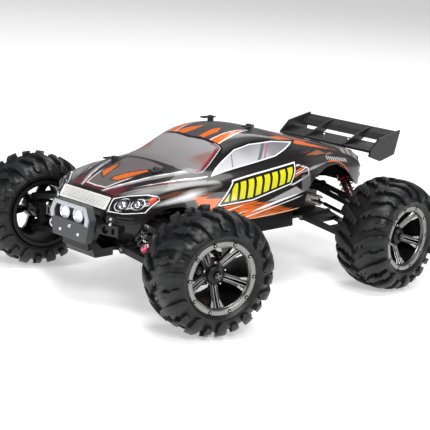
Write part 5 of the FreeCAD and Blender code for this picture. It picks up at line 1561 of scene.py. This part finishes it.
# ---- studio --------------------------------------------------------------------------------------
@dataclass
class Studio:
    """White floor, soft lights and the camera."""

    azimuth: float = 43.11
    elevation: float = 13.45
    spot: Point3 = (661.0, 625.9, 264.8)
    lens: float = 102.4
    roll: float = 4.43
    sensor: float = 36.0
    lights: tuple[tuple[str, Point3, float, float], ...] = (
        ("key", (0.75, 1.15, 1.15), 0.55, 16), ("fill", (1.7, -0.1, 0.75), 0.6, 7),
        ("back", (-1.5, -0.7, 1.9), 1.1, 14), ("side", (-0.9, 1.6, 0.55), 0.5, 6),
        ("overhead", (0.25, 0.3, 1.9), 0.9, 26),
    )

    def floor(self) -> None:
        """Wide, round, pale floor."""
        bm = bmesh.new()
        bmesh.ops.create_circle(bm, cap_ends=True, segments=96, radius=6.0)
        mesh = written(bm, "floor")
        mesh.materials.append(Floor("white_floor", (0.80, 0.80, 0.80), 0.7, mottle=0.01, relief=0.0,
                                    uneven=0.02).material())
        linked("floor", mesh)

    def light(self, name: str, spot: Point3, size: float, power: float, aim: Point3 = (0, 0, 0.05)) -> None:
        """Square soft light.

        Args:
            name: Light name.
            spot: Place in metres.
            size: Side of the square.
            power: Watts.
            aim: Point it faces.
        """
        lamp = bpy.data.lights.new(name, "AREA")
        lamp.shape, lamp.size, lamp.energy = "SQUARE", size, power
        stand = linked(name, lamp)
        stand.location = spot
        stand.rotation_mode = "QUATERNION"
        stand.rotation_quaternion = (Vector(aim) - Vector(spot)).to_track_quat("-Z", "Y")

    def camera(self) -> None:
        """Camera at the three-quarter front view."""
        up_angle, turn, roll = (math.radians(a) for a in (self.elevation, self.azimuth, self.roll))
        back = Vector((math.cos(turn) * math.cos(up_angle), math.sin(turn) * math.cos(up_angle),
                       math.sin(up_angle)))
        right = (-back).cross(Vector((0, 0, 1))).normalized()
        up = right.cross(-back)
        right, up = (right * math.cos(roll) + up * math.sin(roll),
                     up * math.cos(roll) - right * math.sin(roll))
        lens = bpy.data.cameras.new("camera")
        lens.lens, lens.sensor_width = self.lens, self.sensor
        lens.clip_start, lens.clip_end = 0.05, 30.0
        eye = linked("camera", lens)
        spot = TO_FRAME @ Vector(self.spot)
        eye.matrix_world = Matrix(((right.x, up.x, back.x, spot.x), (right.y, up.y, back.y, spot.y),
                                   (right.z, up.z, back.z, spot.z), (0, 0, 0, 1)))
        bpy.context.scene.camera = eye

    def build(self) -> None:
        """Sets up the studio."""
        self.floor()
        for light in self.lights:
            self.light(*light)
        self.sky()
        self.camera()
        bpy.context.scene.view_settings.view_transform = "Standard"

    def sky(self) -> None:
        """White to look at, but dim as a light, so that dark gloss stays dark."""
        world = bpy.data.worlds.new("studio")
        bpy.context.scene.world = world
        world.use_nodes = True
        tree = world.node_tree
        sky = tree.nodes["Background"]
        ray = tree.nodes.new("ShaderNodeLightPath")
        tone = tree.nodes.new("ShaderNodeMix")
        tone.data_type = "RGBA"
        tone.inputs[6].default_value = (0.22, 0.22, 0.23, 1)
        tone.inputs[7].default_value = (1, 1, 1, 1)
        tree.links.new(ray.outputs["Is Camera Ray"], tone.inputs[0])
        tree.links.new(tone.outputs[2], sky.inputs["Color"])


def main() -> None:
    """Builds the truck and its studio."""
    logging.basicConfig(level=logging.INFO, format="%(message)s")
    bench = Bench()
    RunningGear().build(bench)
    Wheels().build(bench)
    for code in WHEEL_CODES:
        Damper(code).build(bench)
    BodyShell().build(bench)
    LightPanel().build(bench)
    Fasteners().build(bench)
    Studio().build()


if __name__ == "__main__":
    main()
